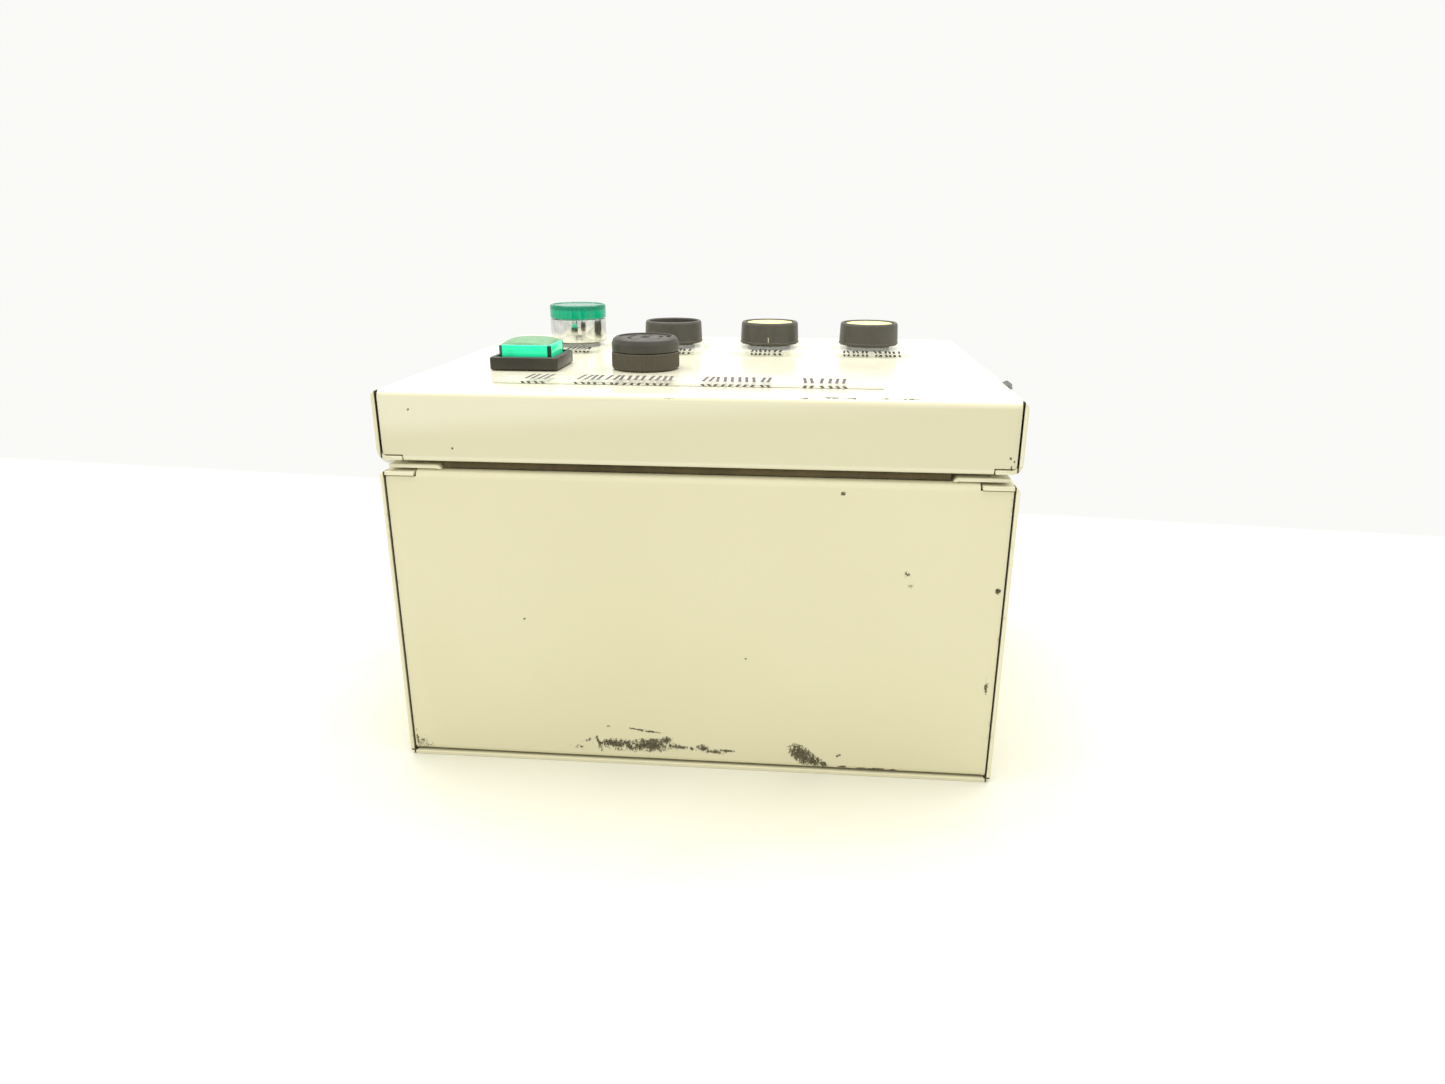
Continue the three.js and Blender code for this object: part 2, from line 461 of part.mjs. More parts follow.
// ------------------------------------------------------------------- latch
// Draw latch in the middle of the right side: base on the door with two ears
// and the rivet, channel-shaped lever with a wide finger lip, wire bail, and
// the keeper on the body.
{
  const [px, pz] = LATCH_P, [qx, qz] = LATCH_Q;
  const xw = W / 2 + GAP;
  let base = join(box(xw, xw + 1.5, -18, 18, 134.6, 156.4), box(xw, xw + 4, -18, 18, 151.6, 156.4));
  for (const s of [-1, 1]) {
    const ear = [[xw + 1, 138.4], [px, 137.8], [px + 1.5, 138.3], [px + 2.2, 140], [px + 1.5, 141.7], [px, 142.6], [xw + 1, 147]];
    base = join(base, s < 0 ? prism(ear, 'Y', -5.5, -4) : prism(ear, 'Y', 4, 5.5));
  }
  base = join(base, barY(2, -7.7, 7.7, px, pz, 16));
  place(door, 'latch_base', base, steel());

  // lever, closed: web outside the ears, lip flared away from the wall
  const web = sheet([[px + 3.9, 135.6], [px + 3.9, 148.2], [138.0, 150.4]], 1.3, [4], 1, 4);
  let lever = prism(web, 'Y', -7.5, 7.5);
  const lip = sheet([[px + 3.9, 145.5], [px + 3.9, 148.2], [138.8, 151.1]], 1.3, [4], 1, 4);
  let lipSolid = prism(lip, 'Y', -14, 14);
  const g = new THREE.CylinderGeometry(26, 26, 30, 40);
  g.rotateX(Math.PI / 2);
  g.translate(138.5 - 26, 0, 150);
  lipSolid = lipSolid.intersect(closed(g));
  lever = join(lever, lipSolid);
  for (const s of [-1, 1]) {
    const cheek = [[qx - 2.6, qz - 2.4], [qx - 2.6, qz + 1.6], [qx - 1, qz + 2.8], [px + 3.2, 148.4], [px + 3.2, 136], [px - 0.6, 136.6], [px - 3, 138.6]];
    lever = join(lever, s < 0 ? prism(cheek, 'Y', -7.5, -6) : prism(cheek, 'Y', 6, 7.5));
  }
  lever = cut(lever, barY(2.3, -9, 9, px, pz, 16), barY(1.4, -9, 9, qx, qz, 12));
  place(door, 'latch_lever', lever, steel());

  // bail, hanging a little clear of the keeper
  const tilt = 9.6 * Math.PI / 180, len = 30;
  const bx = (d) => qx + Math.sin(tilt) * d, bz = (d) => qz - Math.cos(tilt) * d;
  const r = 1.05;
  let bail = barY(r, -10.6, -5.8, qx, qz, 8).add(barY(r, 5.8, 10.6, qx, qz, 8));
  const bar = (d0, d1, y) => {
    const c = new THREE.CylinderGeometry(r, r, d1 - d0, 8);
    c.rotateX(Math.PI / 2);
    c.rotateY(-tilt);
    c.translate(bx((d0 + d1) / 2), y, bz((d0 + d1) / 2));
    return closed(c);
  };
  bail = join(bail, bar(-r, len + r, -9.55), bar(-r, len + r, 9.55), barY(r, -10.6, 10.6, bx(len), bz(len), 8));
  place(door, 'latch_bail', bail, steel());

  let keeper = join(box(xw, xw + 1.5, -12, 12, 101, 120.3), box(xw + 1, xw + 6.2, -6.4, 6.4, 118.8, 120.3), box(xw + 4.7, xw + 6.2, -6.4, 6.4, 114.6, 120.3));
  place(enclosure, 'latch_keeper', keeper, steel());
}

export default object;
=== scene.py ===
import math
import random

import bmesh
import bpy
from mathutils import Matrix, Vector


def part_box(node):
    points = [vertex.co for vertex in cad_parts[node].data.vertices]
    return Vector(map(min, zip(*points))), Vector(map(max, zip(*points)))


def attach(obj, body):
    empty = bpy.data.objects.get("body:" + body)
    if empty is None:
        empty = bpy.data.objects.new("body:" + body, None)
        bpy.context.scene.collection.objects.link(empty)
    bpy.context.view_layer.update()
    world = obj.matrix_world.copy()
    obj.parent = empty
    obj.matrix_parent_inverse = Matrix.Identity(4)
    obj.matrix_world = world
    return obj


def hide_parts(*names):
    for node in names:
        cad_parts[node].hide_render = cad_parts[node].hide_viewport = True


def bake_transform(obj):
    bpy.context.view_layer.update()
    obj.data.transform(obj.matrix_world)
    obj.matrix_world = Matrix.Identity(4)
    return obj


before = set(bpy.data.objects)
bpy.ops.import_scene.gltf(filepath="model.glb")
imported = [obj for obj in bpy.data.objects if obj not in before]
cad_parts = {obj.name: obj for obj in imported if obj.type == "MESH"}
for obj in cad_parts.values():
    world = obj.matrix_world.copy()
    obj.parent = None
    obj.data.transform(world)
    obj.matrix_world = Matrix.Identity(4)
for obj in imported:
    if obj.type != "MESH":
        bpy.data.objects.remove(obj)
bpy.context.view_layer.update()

MM = 0.001


def lo(node):
    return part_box(node)[0] * 1000.0


def hi(node):
    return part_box(node)[1] * 1000.0


# ---------------------------------------------------------------------------
# camera
# ---------------------------------------------------------------------------
def camera():
    yaw, pitch, roll = 8.85713628e-02, 3.24273652e-01, 2.74234560e-03
    rz = Matrix.Rotation(yaw, 3, 'Z')
    rx = Matrix.Rotation(-pitch, 3, 'X')
    ry = Matrix.Rotation(-roll, 3, 'Y')
    m = rz @ rx @ ry
    right, fwd, up = m.col[0], m.col[1], m.col[2]
    data = bpy.data.cameras.new("camera")
    data.sensor_width = 36.0
    data.lens = 943.503456 / 1445.0 * 36.0
    data.clip_start = 0.01
    data.clip_end = 50.0
    ob = bpy.data.objects.new("camera", data)
    bpy.context.scene.collection.objects.link(ob)
    world = Matrix.Identity(4)
    for i in range(3):
        world[i][0], world[i][1], world[i][2] = right[i], up[i], -fwd[i]
    world.translation = Vector((0.0435395574, -0.451005855, 0.221036274))
    ob.matrix_world = world
    bpy.context.scene.camera = ob


camera()


# ---------------------------------------------------------------------------
# dimensions taken from the frame
# ---------------------------------------------------------------------------
HW = hi("body_wrap").x                 # half width
HL = hi("body_wrap").y                 # half length
BODY_TOP = hi("body_wrap").z
DOOR_TOP = hi("door_pan").z
DOOR_Z0 = lo("door_pan").z
T = 1.6
END_Y = lo("end_wall_top").y
END_TOP = hi("end_wall_top").z
FAR = [((lo(a).x + hi(a).x) / 2, (lo(a).y + hi(a).y) / 2) for a in ("pilot_housing", "button_guard_1", "button_guard_2", "button_guard_3")]
SQ = ((lo("square_bezel").x + hi("square_bezel").x) / 2, (lo("square_bezel").y + hi("square_bezel").y) / 2)
BZ = ((lo("buzzer_base").x + hi("buzzer_base").x) / 2, (lo("buzzer_base").y + hi("buzzer_base").y) / 2)
HOLE_R = 11.3


# ---------------------------------------------------------------------------
# node helpers
# ---------------------------------------------------------------------------
class Nodes:
    def __init__(self, tree):
        self.t = tree

    def new(self, kind, **props):
        n = self.t.nodes.new(kind)
        for k, v in props.items():
            setattr(n, k, v)
        return n

    def link(self, a, b):
        self.t.links.new(a, b)

    def put(self, socket, value):
        if isinstance(value, bpy.types.NodeSocket):
            self.link(value, socket)
        elif value is not None:
            socket.default_value = value

    def math(self, op, a, b=None, c=None, clamp=False):
        n = self.new("ShaderNodeMath", operation=op, use_clamp=clamp)
        for i, v in enumerate((a, b, c)):
            if v is not None:
                self.put(n.inputs[i], v)
        return n.outputs[0]

    def ramp(self, x, lo_, hi_, out0=0.0, out1=1.0, smooth=True):
        n = self.new("ShaderNodeMapRange")
        n.interpolation_type = 'SMOOTHSTEP' if smooth else 'LINEAR'
        n.clamp = True
        self.put(n.inputs[0], x)
        self.put(n.inputs[1], lo_)
        self.put(n.inputs[2], hi_)
        self.put(n.inputs[3], out0)
        self.put(n.inputs[4], out1)
        return n.outputs[0]

    def noise(self, vec, scale, detail=3.0, rough=0.5, dist=0.0, out=0):
        n = self.new("ShaderNodeTexNoise")
        self.put(n.inputs["Vector"], vec)
        n.inputs["Scale"].default_value = scale
        n.inputs["Detail"].default_value = detail
        n.inputs["Roughness"].default_value = rough
        n.inputs["Distortion"].default_value = dist
        return n.outputs[out]

    def stretch(self, vec, sx, sy, sz, off=(0, 0, 0)):
        n = self.new("ShaderNodeMapping")
        self.put(n.inputs["Vector"], vec)
        n.inputs["Location"].default_value = off
        n.inputs["Scale"].default_value = (sx, sy, sz)
        return n.outputs[0]

    def mix(self, f, a, b):
        n = self.new("ShaderNodeMix", data_type='RGBA')
        self.put(n.inputs[0], f)
        self.put(n.inputs[6], a)
        self.put(n.inputs[7], b)
        return n.outputs[2]

    def mixf(self, f, a, b):
        n = self.new("ShaderNodeMix", data_type='FLOAT')
        self.put(n.inputs[0], f)
        self.put(n.inputs[2], a)
        self.put(n.inputs[3], b)
        return n.outputs[0]

    def bump(self, height, strength, distance, normal=None):
        n = self.new("ShaderNodeBump")
        self.put(n.inputs["Height"], height)
        n.inputs["Strength"].default_value = strength
        n.inputs["Distance"].default_value = distance
        if normal is not None:
            self.link(normal, n.inputs["Normal"])
        return n.outputs[0]

    def coords(self):
        tc = self.new("ShaderNodeTexCoord")
        return tc.outputs["Object"]

    def xyz(self, vec):
        s = self.new("ShaderNodeSeparateXYZ")
        self.link(vec, s.inputs[0])
        return s.outputs[0], s.outputs[1], s.outputs[2]


def shader(name):
    m = bpy.data.materials.new(name)
    m.use_nodes = True
    t = m.node_tree
    t.nodes.clear()
    n = Nodes(t)
    out = n.new("ShaderNodeOutputMaterial")
    bsdf = n.new("ShaderNodeBsdfPrincipled")
    n.link(bsdf.outputs[0], out.inputs[0])
    return m, n, bsdf


def rgb(r, g, b):
    return (r, g, b, 1.0)


def worn(name, base, dark, light, rough, grain, grain_depth, metal=0.0, spec=0.5, wave=0.12, dust=0.25, scratch=0.3, coat=0.0):
    """Moulded or plated surface: mottled colour, fine grain, dust in the low areas and hairline scratches."""
    m, n, b = shader(name)
    v = n.coords()
    big = n.noise(v, 45, 3, 0.55)
    small = n.noise(v, 420, 4, 0.6)
    fac = n.math('ADD', n.math('MULTIPLY', big, 0.65), n.math('MULTIPLY', small, 0.35))
    col = n.mix(n.ramp(fac, 0.35, 0.65), rgb(*dark), rgb(*base))
    geo = n.new("ShaderNodeNewGeometry")
    edge = n.ramp(geo.outputs["Pointiness"], 0.52, 0.60)
    col = n.mix(n.math('MULTIPLY', n.math('MULTIPLY', edge, big), wave * 4, clamp=True), col, rgb(*light))
    nz = n.xyz(geo.outputs["Normal"])[2]
    d = n.math('MULTIPLY', n.ramp(nz, 0.4, 0.95), n.ramp(n.noise(v, 120, 5, 0.7), 0.42, 0.7))
    col = n.mix(n.math('MULTIPLY', d, dust), col, rgb(*light))
    s1 = n.noise(n.stretch(v, 30, 900, 900), 1.0, 3, 0.7)
    s2 = n.noise(n.stretch(v, 900, 40, 900, (3, 1, 2)), 1.0, 3, 0.7)
    sc = n.ramp(n.math('MAXIMUM', s1, s2), 0.66, 0.72)
    col = n.mix(n.math('MULTIPLY', sc, scratch * 0.5), col, rgb(*light))
    n.link(col, b.inputs["Base Color"])
    r = n.math('ADD', n.ramp(fac, 0.3, 0.7, rough - 0.05, rough + 0.07), n.math('MULTIPLY', sc, 0.12 * scratch))
    n.link(r, b.inputs["Roughness"])
    b.inputs["Metallic"].default_value = metal
    b.inputs["Specular IOR Level"].default_value = spec
    if coat:
        b.inputs["Coat Weight"].default_value = coat
        b.inputs["Coat Roughness"].default_value = 0.12
    g = n.noise(v, grain, 2, 0.5)
    nb = n.bump(g, 0.6, grain_depth)
    nb = n.bump(sc, 0.25 * scratch, 0.00005, nb)
    n.link(nb, b.inputs["Normal"])
    return m


def plated(name, base, dark, rough, spots=0.3, brushed=None, spot_col=(0.30, 0.24, 0.16)):
    """Metal plate: cloudy roughness, faint brush lines and pinhead corrosion."""
    m, n, b = shader(name)
    v = n.coords()
    cloud = n.noise(v, 70, 5, 0.65)
    spot = n.ramp(n.noise(v, 900, 4, 0.7), 0.66, 0.74)
    rust = n.math('MULTIPLY', spot, n.ramp(n.noise(v, 60, 2, 0.5), 0.45, 0.65))
    col = n.mix(n.ramp(cloud, 0.3, 0.7), rgb(*dark), rgb(*base))
    col = n.mix(n.math('MULTIPLY', rust, spots), col, rgb(*spot_col))
    n.link(col, b.inputs["Base Color"])
    b.inputs["Metallic"].default_value = 1.0
    n.link(n.math('ADD', n.ramp(cloud, 0.25, 0.75, rough - 0.05, rough + 0.10), n.math('MULTIPLY', rust, 0.25)), b.inputs["Roughness"])
    s = brushed or (60, 60, 1400)
    lines = n.noise(n.stretch(v, *s), 1.0, 2, 0.6)
    nb = n.bump(lines, 0.22, 0.00006)
    nb = n.bump(n.noise(v, 260, 3, 0.5), 0.15, 0.0001, nb)
    n.link(nb, b.inputs["Normal"])
    return m


# --- worn cream paint -------------------------------------------------------
def patch_group():
    g = bpy.data.node_groups.new("chip_patch", 'ShaderNodeTree')
    g.interface.new_socket("Value", in_out='OUTPUT', socket_type='NodeSocketFloat')
    for k in ("A", "B", "Ca", "Cb", "Ha", "Hb", "Angle", "Bias", "Noise"):
        g.interface.new_socket(k, in_out='INPUT', socket_type='NodeSocketFloat')
    n = Nodes(g)
    i = n.new("NodeGroupInput").outputs
    o = n.new("NodeGroupOutput")
    da = n.math('SUBTRACT', i["A"], i["Ca"])
    db = n.math('SUBTRACT', i["B"], i["Cb"])
    c, s = n.math('COSINE', i["Angle"]), n.math('SINE', i["Angle"])
    u = n.math('DIVIDE', n.math('ADD', n.math('MULTIPLY', da, c), n.math('MULTIPLY', db, s)), i["Ha"])
    w = n.math('DIVIDE', n.math('SUBTRACT', n.math('MULTIPLY', db, c), n.math('MULTIPLY', da, s)), i["Hb"])
    d = n.math('SQRT', n.math('ADD', n.math('MULTIPLY', u, u), n.math('MULTIPLY', w, w)))
    f = n.math('ADD', n.math('SUBTRACT', 1.0, d), n.math('MULTIPLY', n.math('SUBTRACT', i["Noise"], 0.5), 6.2))
    f = n.math('ADD', f, i["Bias"])
    f = n.math('MULTIPLY', n.ramp(f, 0.20, 0.42), n.ramp(d, 1.55, 1.20))
    n.link(f, o.inputs[0])
    return g


PATCH = patch_group()
CREAM = (0.680, 0.638, 0.428)
CREAM_LIGHT = (0.780, 0.750, 0.570)
# colour of the seams: dirt, and painted shade in the narrow gaps between the sheets
SEAM_GRIME_AND_SHADE = (0.030, 0.021, 0.009)
BARE = (0.050, 0.040, 0.022)


def paint(name, chips=(), plane=('x', 'z'), seams=(), specks=0.0, gloss=(0.25, 0.36), soil=0.0, orient=None, rim=None, painted_light_above=None, rubbed=0.55, corner=None):
    """Cream paint. chips: (a, b, half a, half b, angle, bias) in mm on the plane's two axes, kept to the face named by
    orient (axis index, value in mm). seams: (axis, value mm, reach mm) lines along which dirt has gathered and along
    which the gap between the sheets is painted dark as painted shade.
    painted_light_above: height in mm above which the paint is painted lighter, as painted light on the top, the faces
    below it being painted a shade darker, as painted shade.
    rubbed: how strongly the folds are rubbed pale. corner: (a, b, reach) in mm of a soft smudge of handling dirt."""
    m, n, b = shader(name)
    v = n.coords()
    x, y, z = n.xyz(v)
    ax = {'x': x, 'y': y, 'z': z}
    big = n.noise(v, 9, 3, 0.5)
    mid = n.noise(v, 55, 4, 0.6)
    fine = n.noise(v, 1500, 5, 0.72)
    col = n.mix(n.ramp(big, 0.3, 0.7), rgb(CREAM[0] * 0.975, CREAM[1] * 0.972, CREAM[2] * 0.95), rgb(*CREAM))
    # painted light and shade: the top faces get a lighter cream and the faces below a darker one, for how the lamps
    # fall on them
    if painted_light_above is not None:
        painted_shade_below = n.mix(n.ramp(big, 0.3, 0.7), rgb(*[c * 0.925 for c in CREAM]), rgb(*[c * 0.945 for c in CREAM]))
        painted_light_top = n.mix(n.ramp(big, 0.3, 0.7), rgb(0.695, 0.668, 0.515), rgb(0.705, 0.678, 0.535))
        col = n.mix(n.ramp(z, (painted_light_above - 0.8) * MM, painted_light_above * MM), painted_shade_below, painted_light_top)
    smudge = n.math('MULTIPLY', n.ramp(n.noise(v, 24, 5, 0.7), 0.45, 0.80), n.ramp(mid, 0.2, 0.9))
    col = n.mix(n.math('MULTIPLY', smudge, 0.05 + soil), col, rgb(0.56, 0.49, 0.27))
    geo = n.new("ShaderNodeNewGeometry")
    edge = n.ramp(geo.outputs["Pointiness"], 0.515, 0.575)
    col = n.mix(n.math('MULTIPLY', edge, rubbed), col, rgb(*CREAM_LIGHT))
    if corner is not None:
        da = n.math('SUBTRACT', ax[plane[0]], corner[0] * MM)
        db = n.math('MULTIPLY', n.math('SUBTRACT', ax[plane[1]], corner[1] * MM), 1.5)
        away = n.math('SQRT', n.math('ADD', n.math('MULTIPLY', da, da), n.math('MULTIPLY', db, db)))
        dirt = n.math('MULTIPLY', n.ramp(away, corner[2] * MM, 0.0008), n.ramp(n.noise(v, 380, 5, 0.75), 0.40, 0.62))
        if orient is not None:
            dirt = n.math('MULTIPLY', dirt, n.ramp(n.math('ABSOLUTE', n.math('SUBTRACT', (x, y, z)[orient[0]], orient[1] * MM)), 0.0030, 0.0022))
        col = n.mix(n.math('MULTIPLY', dirt, 0.80), col, rgb(0.200, 0.175, 0.105))
    # dirt gathered along the seams, and painted shade: a thin dark core line right on each seam darkens the gap between
    # the sheets
    seam_grime_and_shade = None
    for axis, value, reach in seams:
        d = n.math('ABSOLUTE', n.math('SUBTRACT', n.math('ABSOLUTE', ax[axis]) if axis == 'x' else ax[axis], value * MM))
        # painted shade: a thin dark line right on the seam stands in for the shade inside the gap
        core = n.ramp(d, 0.00040, 0.00028)
        wide = n.math('MULTIPLY', n.ramp(d, reach * MM, 0.0002), n.ramp(n.noise(v, 260, 5, 0.75), 0.52, 0.70))
        if axis == 'z':
            wide = n.math('MULTIPLY', wide, n.ramp(z, (value - 0.3) * MM, value * MM))
        f = n.math('MAXIMUM', core, n.math('MULTIPLY', wide, 0.55))
        seam_grime_and_shade = f if seam_grime_and_shade is None else n.math('MAXIMUM', seam_grime_and_shade, f)
    if seam_grime_and_shade is not None and rim is not None:
        seam_grime_and_shade = n.math('MULTIPLY', seam_grime_and_shade, n.ramp(n.math('ABSOLUTE', y), (rim - 1.2) * MM, rim * MM))
    if seam_grime_and_shade is not None:
        col = n.mix(n.math('MULTIPLY', seam_grime_and_shade, 0.97), col, rgb(*SEAM_GRIME_AND_SHADE))
    # chips and flakes of bare metal
    chip = None
    if chips:
        pa, pb = ax[plane[0]], ax[plane[1]]
        coarse = n.noise(n.stretch(v, 1.2, 1.2, 0.85), 700, 4, 0.7, 0.5)
        tiny = n.noise(n.stretch(v, 1.5, 1.5, 0.8), 2100, 4, 0.72, 0.4)
        ragged = n.math('ADD', n.math('MULTIPLY', coarse, 0.52), n.math('MULTIPLY', tiny, 0.48))
        for (ca, cb, ha, hb, ang, bias) in chips:
            g = n.new("ShaderNodeGroup")
            g.node_tree = PATCH
            n.link(pa, g.inputs["A"])
            n.link(pb, g.inputs["B"])
            g.inputs["Ca"].default_value = ca * MM
            g.inputs["Cb"].default_value = cb * MM
            g.inputs["Ha"].default_value = ha * MM
            g.inputs["Hb"].default_value = hb * MM
            g.inputs["Angle"].default_value = ang
            g.inputs["Bias"].default_value = bias
            n.link(ragged, g.inputs["Noise"])
            chip = g.outputs[0] if chip is None else n.math('MAXIMUM', chip, g.outputs[0])
        if orient is not None:
            keep = n.ramp(n.math('ABSOLUTE', n.math('SUBTRACT', (x, y, z)[orient[0]], orient[1] * MM)), 0.0030, 0.0022)
            chip = n.math('MULTIPLY', chip, keep)
    if specks:
        sp = n.ramp(n.noise(v, 210, 2, 0.5), 0.742 - specks, 0.752 - specks)
        sp = n.math('MULTIPLY', sp, n.ramp(fine, 0.42, 0.5))
        chip = sp if chip is None else n.math('MAXIMUM', chip, sp)
    if chip is not None:
        halo = n.ramp(chip, 0.02, 0.5)
        col = n.mix(n.math('MULTIPLY', halo, 0.35), col, rgb(0.42, 0.36, 0.20))
        bare = n.mix(n.ramp(n.noise(v, 1150, 3, 0.65), 0.42, 0.60), rgb(*BARE), rgb(0.135, 0.115, 0.058))
        col = n.mix(n.ramp(chip, 0.30, 0.62), col, bare)
    # hairline scratches
    s1 = n.noise(n.stretch(v, 14, 14, 1100), 1.0, 2, 0.6)
    s2 = n.noise(n.stretch(v, 1000, 22, 18, (5, 2, 7)), 1.0, 2, 0.6)
    hair = n.math('MULTIPLY', n.ramp(n.math('MAXIMUM', s1, s2), 0.70, 0.75), n.ramp(big, 0.5, 0.7))
    col = n.mix(n.math('MULTIPLY', hair, 0.16), col, rgb(0.48, 0.42, 0.26))
    n.link(col, b.inputs["Base Color"])
    rough = n.ramp(n.noise(v, 30, 4, 0.6), 0.3, 0.7, gloss[0], gloss[1])
    if chip is not None:
        rough = n.math('ADD', rough, n.math('MULTIPLY', chip, 0.3))
    if seam_grime_and_shade is not None:
        rough = n.math('ADD', rough, n.math('MULTIPLY', seam_grime_and_shade, 0.35))
    n.link(rough, b.inputs["Roughness"])
    b.inputs["Specular IOR Level"].default_value = 0.5
    nb = n.bump(n.noise(v, 5.5, 1, 0.4), 0.25, 0.0010)
    nb = n.bump(n.noise(v, 620, 2, 0.45), 0.12, 0.00008, nb)
    if chip is not None:
        nb = n.bump(n.math('SUBTRACT', 1.0, chip), 0.6, 0.00025, nb)
    n.link(nb, b.inputs["Normal"])
    return m


SEAM_BODY = [('x', 123.08, 1.5), ('z', 1.98, 1.6)]
SEAM_DOOR = [('x', 123.12, 1.1)]
NEAR_CHIPS = [
    (-34.0, 9.4, 7.2, 1.9, 0.05, 0.18), (-33, 7, 6.2, 2.2, 0, -0.62), (-40.8, 9, 0.8, 3.6, 0.3, 0.10), (-49, 6.9, 9.5, 2.6, -0.1, -0.80),
    (-46.0, 10.4, 2.6, 1.1, 0.3, -0.25), (-27.5, 7.6, 3.6, 1.8, -0.4, -0.30), (-18.6, 9.3, 7.4, 2.5, 0.04, 0.42), (-11.8, 11.8, 2.6, 1.7, 0.1, 0.20),
    (-18.5, 6.9, 7.8, 1.7, 0, -0.52), (-8.0, 9.4, 3.4, 1.8, 0, -0.20), (-4.6, 8.9, 2.2, 0.8, 0, 0.22), (-0.6, 8.6, 2.0, 0.8, 0, -0.10),
    (4.2, 9.0, 2.6, 1.5, 0, 0.20), (9.0, 7.8, 5.2, 1.4, 0, -0.10), (14.6, 8.4, 3.6, 0.6, -0.03, 0.20), (-24, 16.7, 3.6, 0.5, -0.12, 0.10),
    (-18.5, 15.9, 4.6, 0.5, -0.05, 0.10), (-36.5, 17.6, 1.8, 0.7, 0, -0.45), (46.0, 8.4, 5.2, 2.9, -0.62, 0.40), (50.6, 6.2, 4.2, 2.2, -0.5, 0.25),
    (54.8, 4.4, 2.6, 1.3, -0.4, 0.15), (45, 11.6, 3.6, 2.2, 0, -0.62), (61.2, 8.6, 1.6, 0.6, 0.8, -0.30), (62.6, 8.7, 1.5, 0.6, -0.8, -0.35),
    (63.4, 3.4, 1.6, 0.5, 0.1, 0.30), (71.5, 3.1, 2.2, 0.5, 0, 0.15), (77.5, 3.1, 4.0, 0.55, 0.03, 0.25), (84.6, 3.0, 1.4, 0.5, 0, 0.20),
    (-119.2, 6.4, 3.2, 5.6, 0.35, -0.85), (-116, 4.3, 7.5, 1.7, -0.1, -0.80), (-121.6, 7.0, 0.9, 5.5, 0.05, -0.30), (58.8, 123.4, 0.8, 0.7, 0.3, 0.4), (120.6, 85.4, 0.9, 1, 0, 0.55),
    (85.2, 91, 1.6, 2, 0.4, -0.47), (86.8, 86.6, 1.5, 2, 0, -0.47), (119.6, 43.5, 0.9, 4, 0, -0.3), (-70, 66, 0.45, 0.4, 0, 0.25),
    (22, 52, 0.4, 0.35, 0, 0.25),
]
DOOR_CHIPS = [
    (44.0, 159.5, 3.2, 0.28, 0.0, -0.05), (52.5, 159.8, 4.5, 0.25, 0.0, 0.0), (60.5, 159.7, 3.0, 0.22, 0.0, 0.0),
    (73.0, 159.8, 2.0, 0.22, 0.0, -0.05), (82.0, 159.8, 4.5, 0.24, 0.0, -0.05), (-8.0, 158.8, 3.5, 0.3, 0.1, -0.4), (-83.0, 159.6, 2.0, 0.3, 0.0, -0.3),
    (-94.1, 137.6, 0.5, 0.5, 0, 0.15), (-110.7, 152.8, 0.6, 0.5, 0, 0.1), (120.3, 138.6, 0.5, 0.5, 0, 0.1), (121.7, 137.5, 0.35, 0.6, 0, 0.1), (120.8, 134.9, 0.35, 1.1, 0, 0.1),
]

M = {}
M['paint_near'] = paint("cream_paint_near_wall", NEAR_CHIPS, ('x', 'z'), SEAM_BODY, 0.0, gloss=(0.40, 0.47), soil=-0.03, orient=(1, -99.2), rubbed=0.08, corner=(-122.0, 2.6, 10.0))
M['paint_far'] = paint("cream_paint_far_wall", [(-x, zz, a, c, -g, h) for (x, zz, a, c, g, h) in NEAR_CHIPS[:6]], ('x', 'z'), SEAM_BODY, -0.012, orient=(1, 99.2))
M['paint_wrap'] = paint("cream_paint_wrap", [], ('x', 'z'), SEAM_BODY, -0.016, gloss=(0.34, 0.44), soil=0.02, rim=96.8)
M['paint_door'] = paint("cream_paint_door", DOOR_CHIPS, ('x', 'z'), SEAM_DOOR, 0.0, gloss=(0.13, 0.20), orient=(1, -99.2), rim=97.2, painted_light_above=159.6)
M['paint_rail'] = paint("cream_paint_rail", [], ('x', 'z'), [], 0.02, soil=0.05)
M['operator'] = worn("moulded_black", (0.048, 0.043, 0.031), (0.036, 0.032, 0.023), (0.15, 0.14, 0.105), 0.44, 2600, 0.00007, spec=0.5, dust=0.30, scratch=0.25)
M['guard'] = worn("moulded_guard", (0.072, 0.066, 0.049), (0.056, 0.051, 0.037), (0.17, 0.15, 0.12), 0.42, 2600, 0.00007, spec=0.5, dust=0.25, scratch=0.25)
M['bezel'] = worn("moulded_bezel", (0.020, 0.018, 0.008), (0.015, 0.013, 0.006), (0.12, 0.11, 0.07), 0.32, 2600, 0.00005, spec=0.42, dust=0.35, scratch=0.3)
M['operator_matt'] = worn("moulded_black_matt", (0.072, 0.060, 0.038), (0.056, 0.047, 0.029), (0.15, 0.135, 0.10), 0.55, 1800, 0.0001, dust=0.35, scratch=0.2)
M['phenolic'] = worn("phenolic", (0.050, 0.046, 0.042), (0.034, 0.031, 0.028), (0.20, 0.18, 0.15), 0.52, 1500, 0.0001, dust=0.35)
M['beige'] = worn("beige_plastic", (0.62, 0.57, 0.43), (0.52, 0.47, 0.34), (0.70, 0.66, 0.54), 0.45, 1500, 0.00006, dust=0.2)
M['red'] = worn("red_plastic", (0.46, 0.025, 0.018), (0.36, 0.018, 0.012), (0.6, 0.2, 0.16), 0.38, 1500, 0.00005)
M['ivory'] = worn("ivory_cap", (0.90, 0.825, 0.345), (0.87, 0.79, 0.31), (0.93, 0.89, 0.56), 0.46, 1400, 0.00005, spec=0.25, dust=0.10, scratch=0.4)
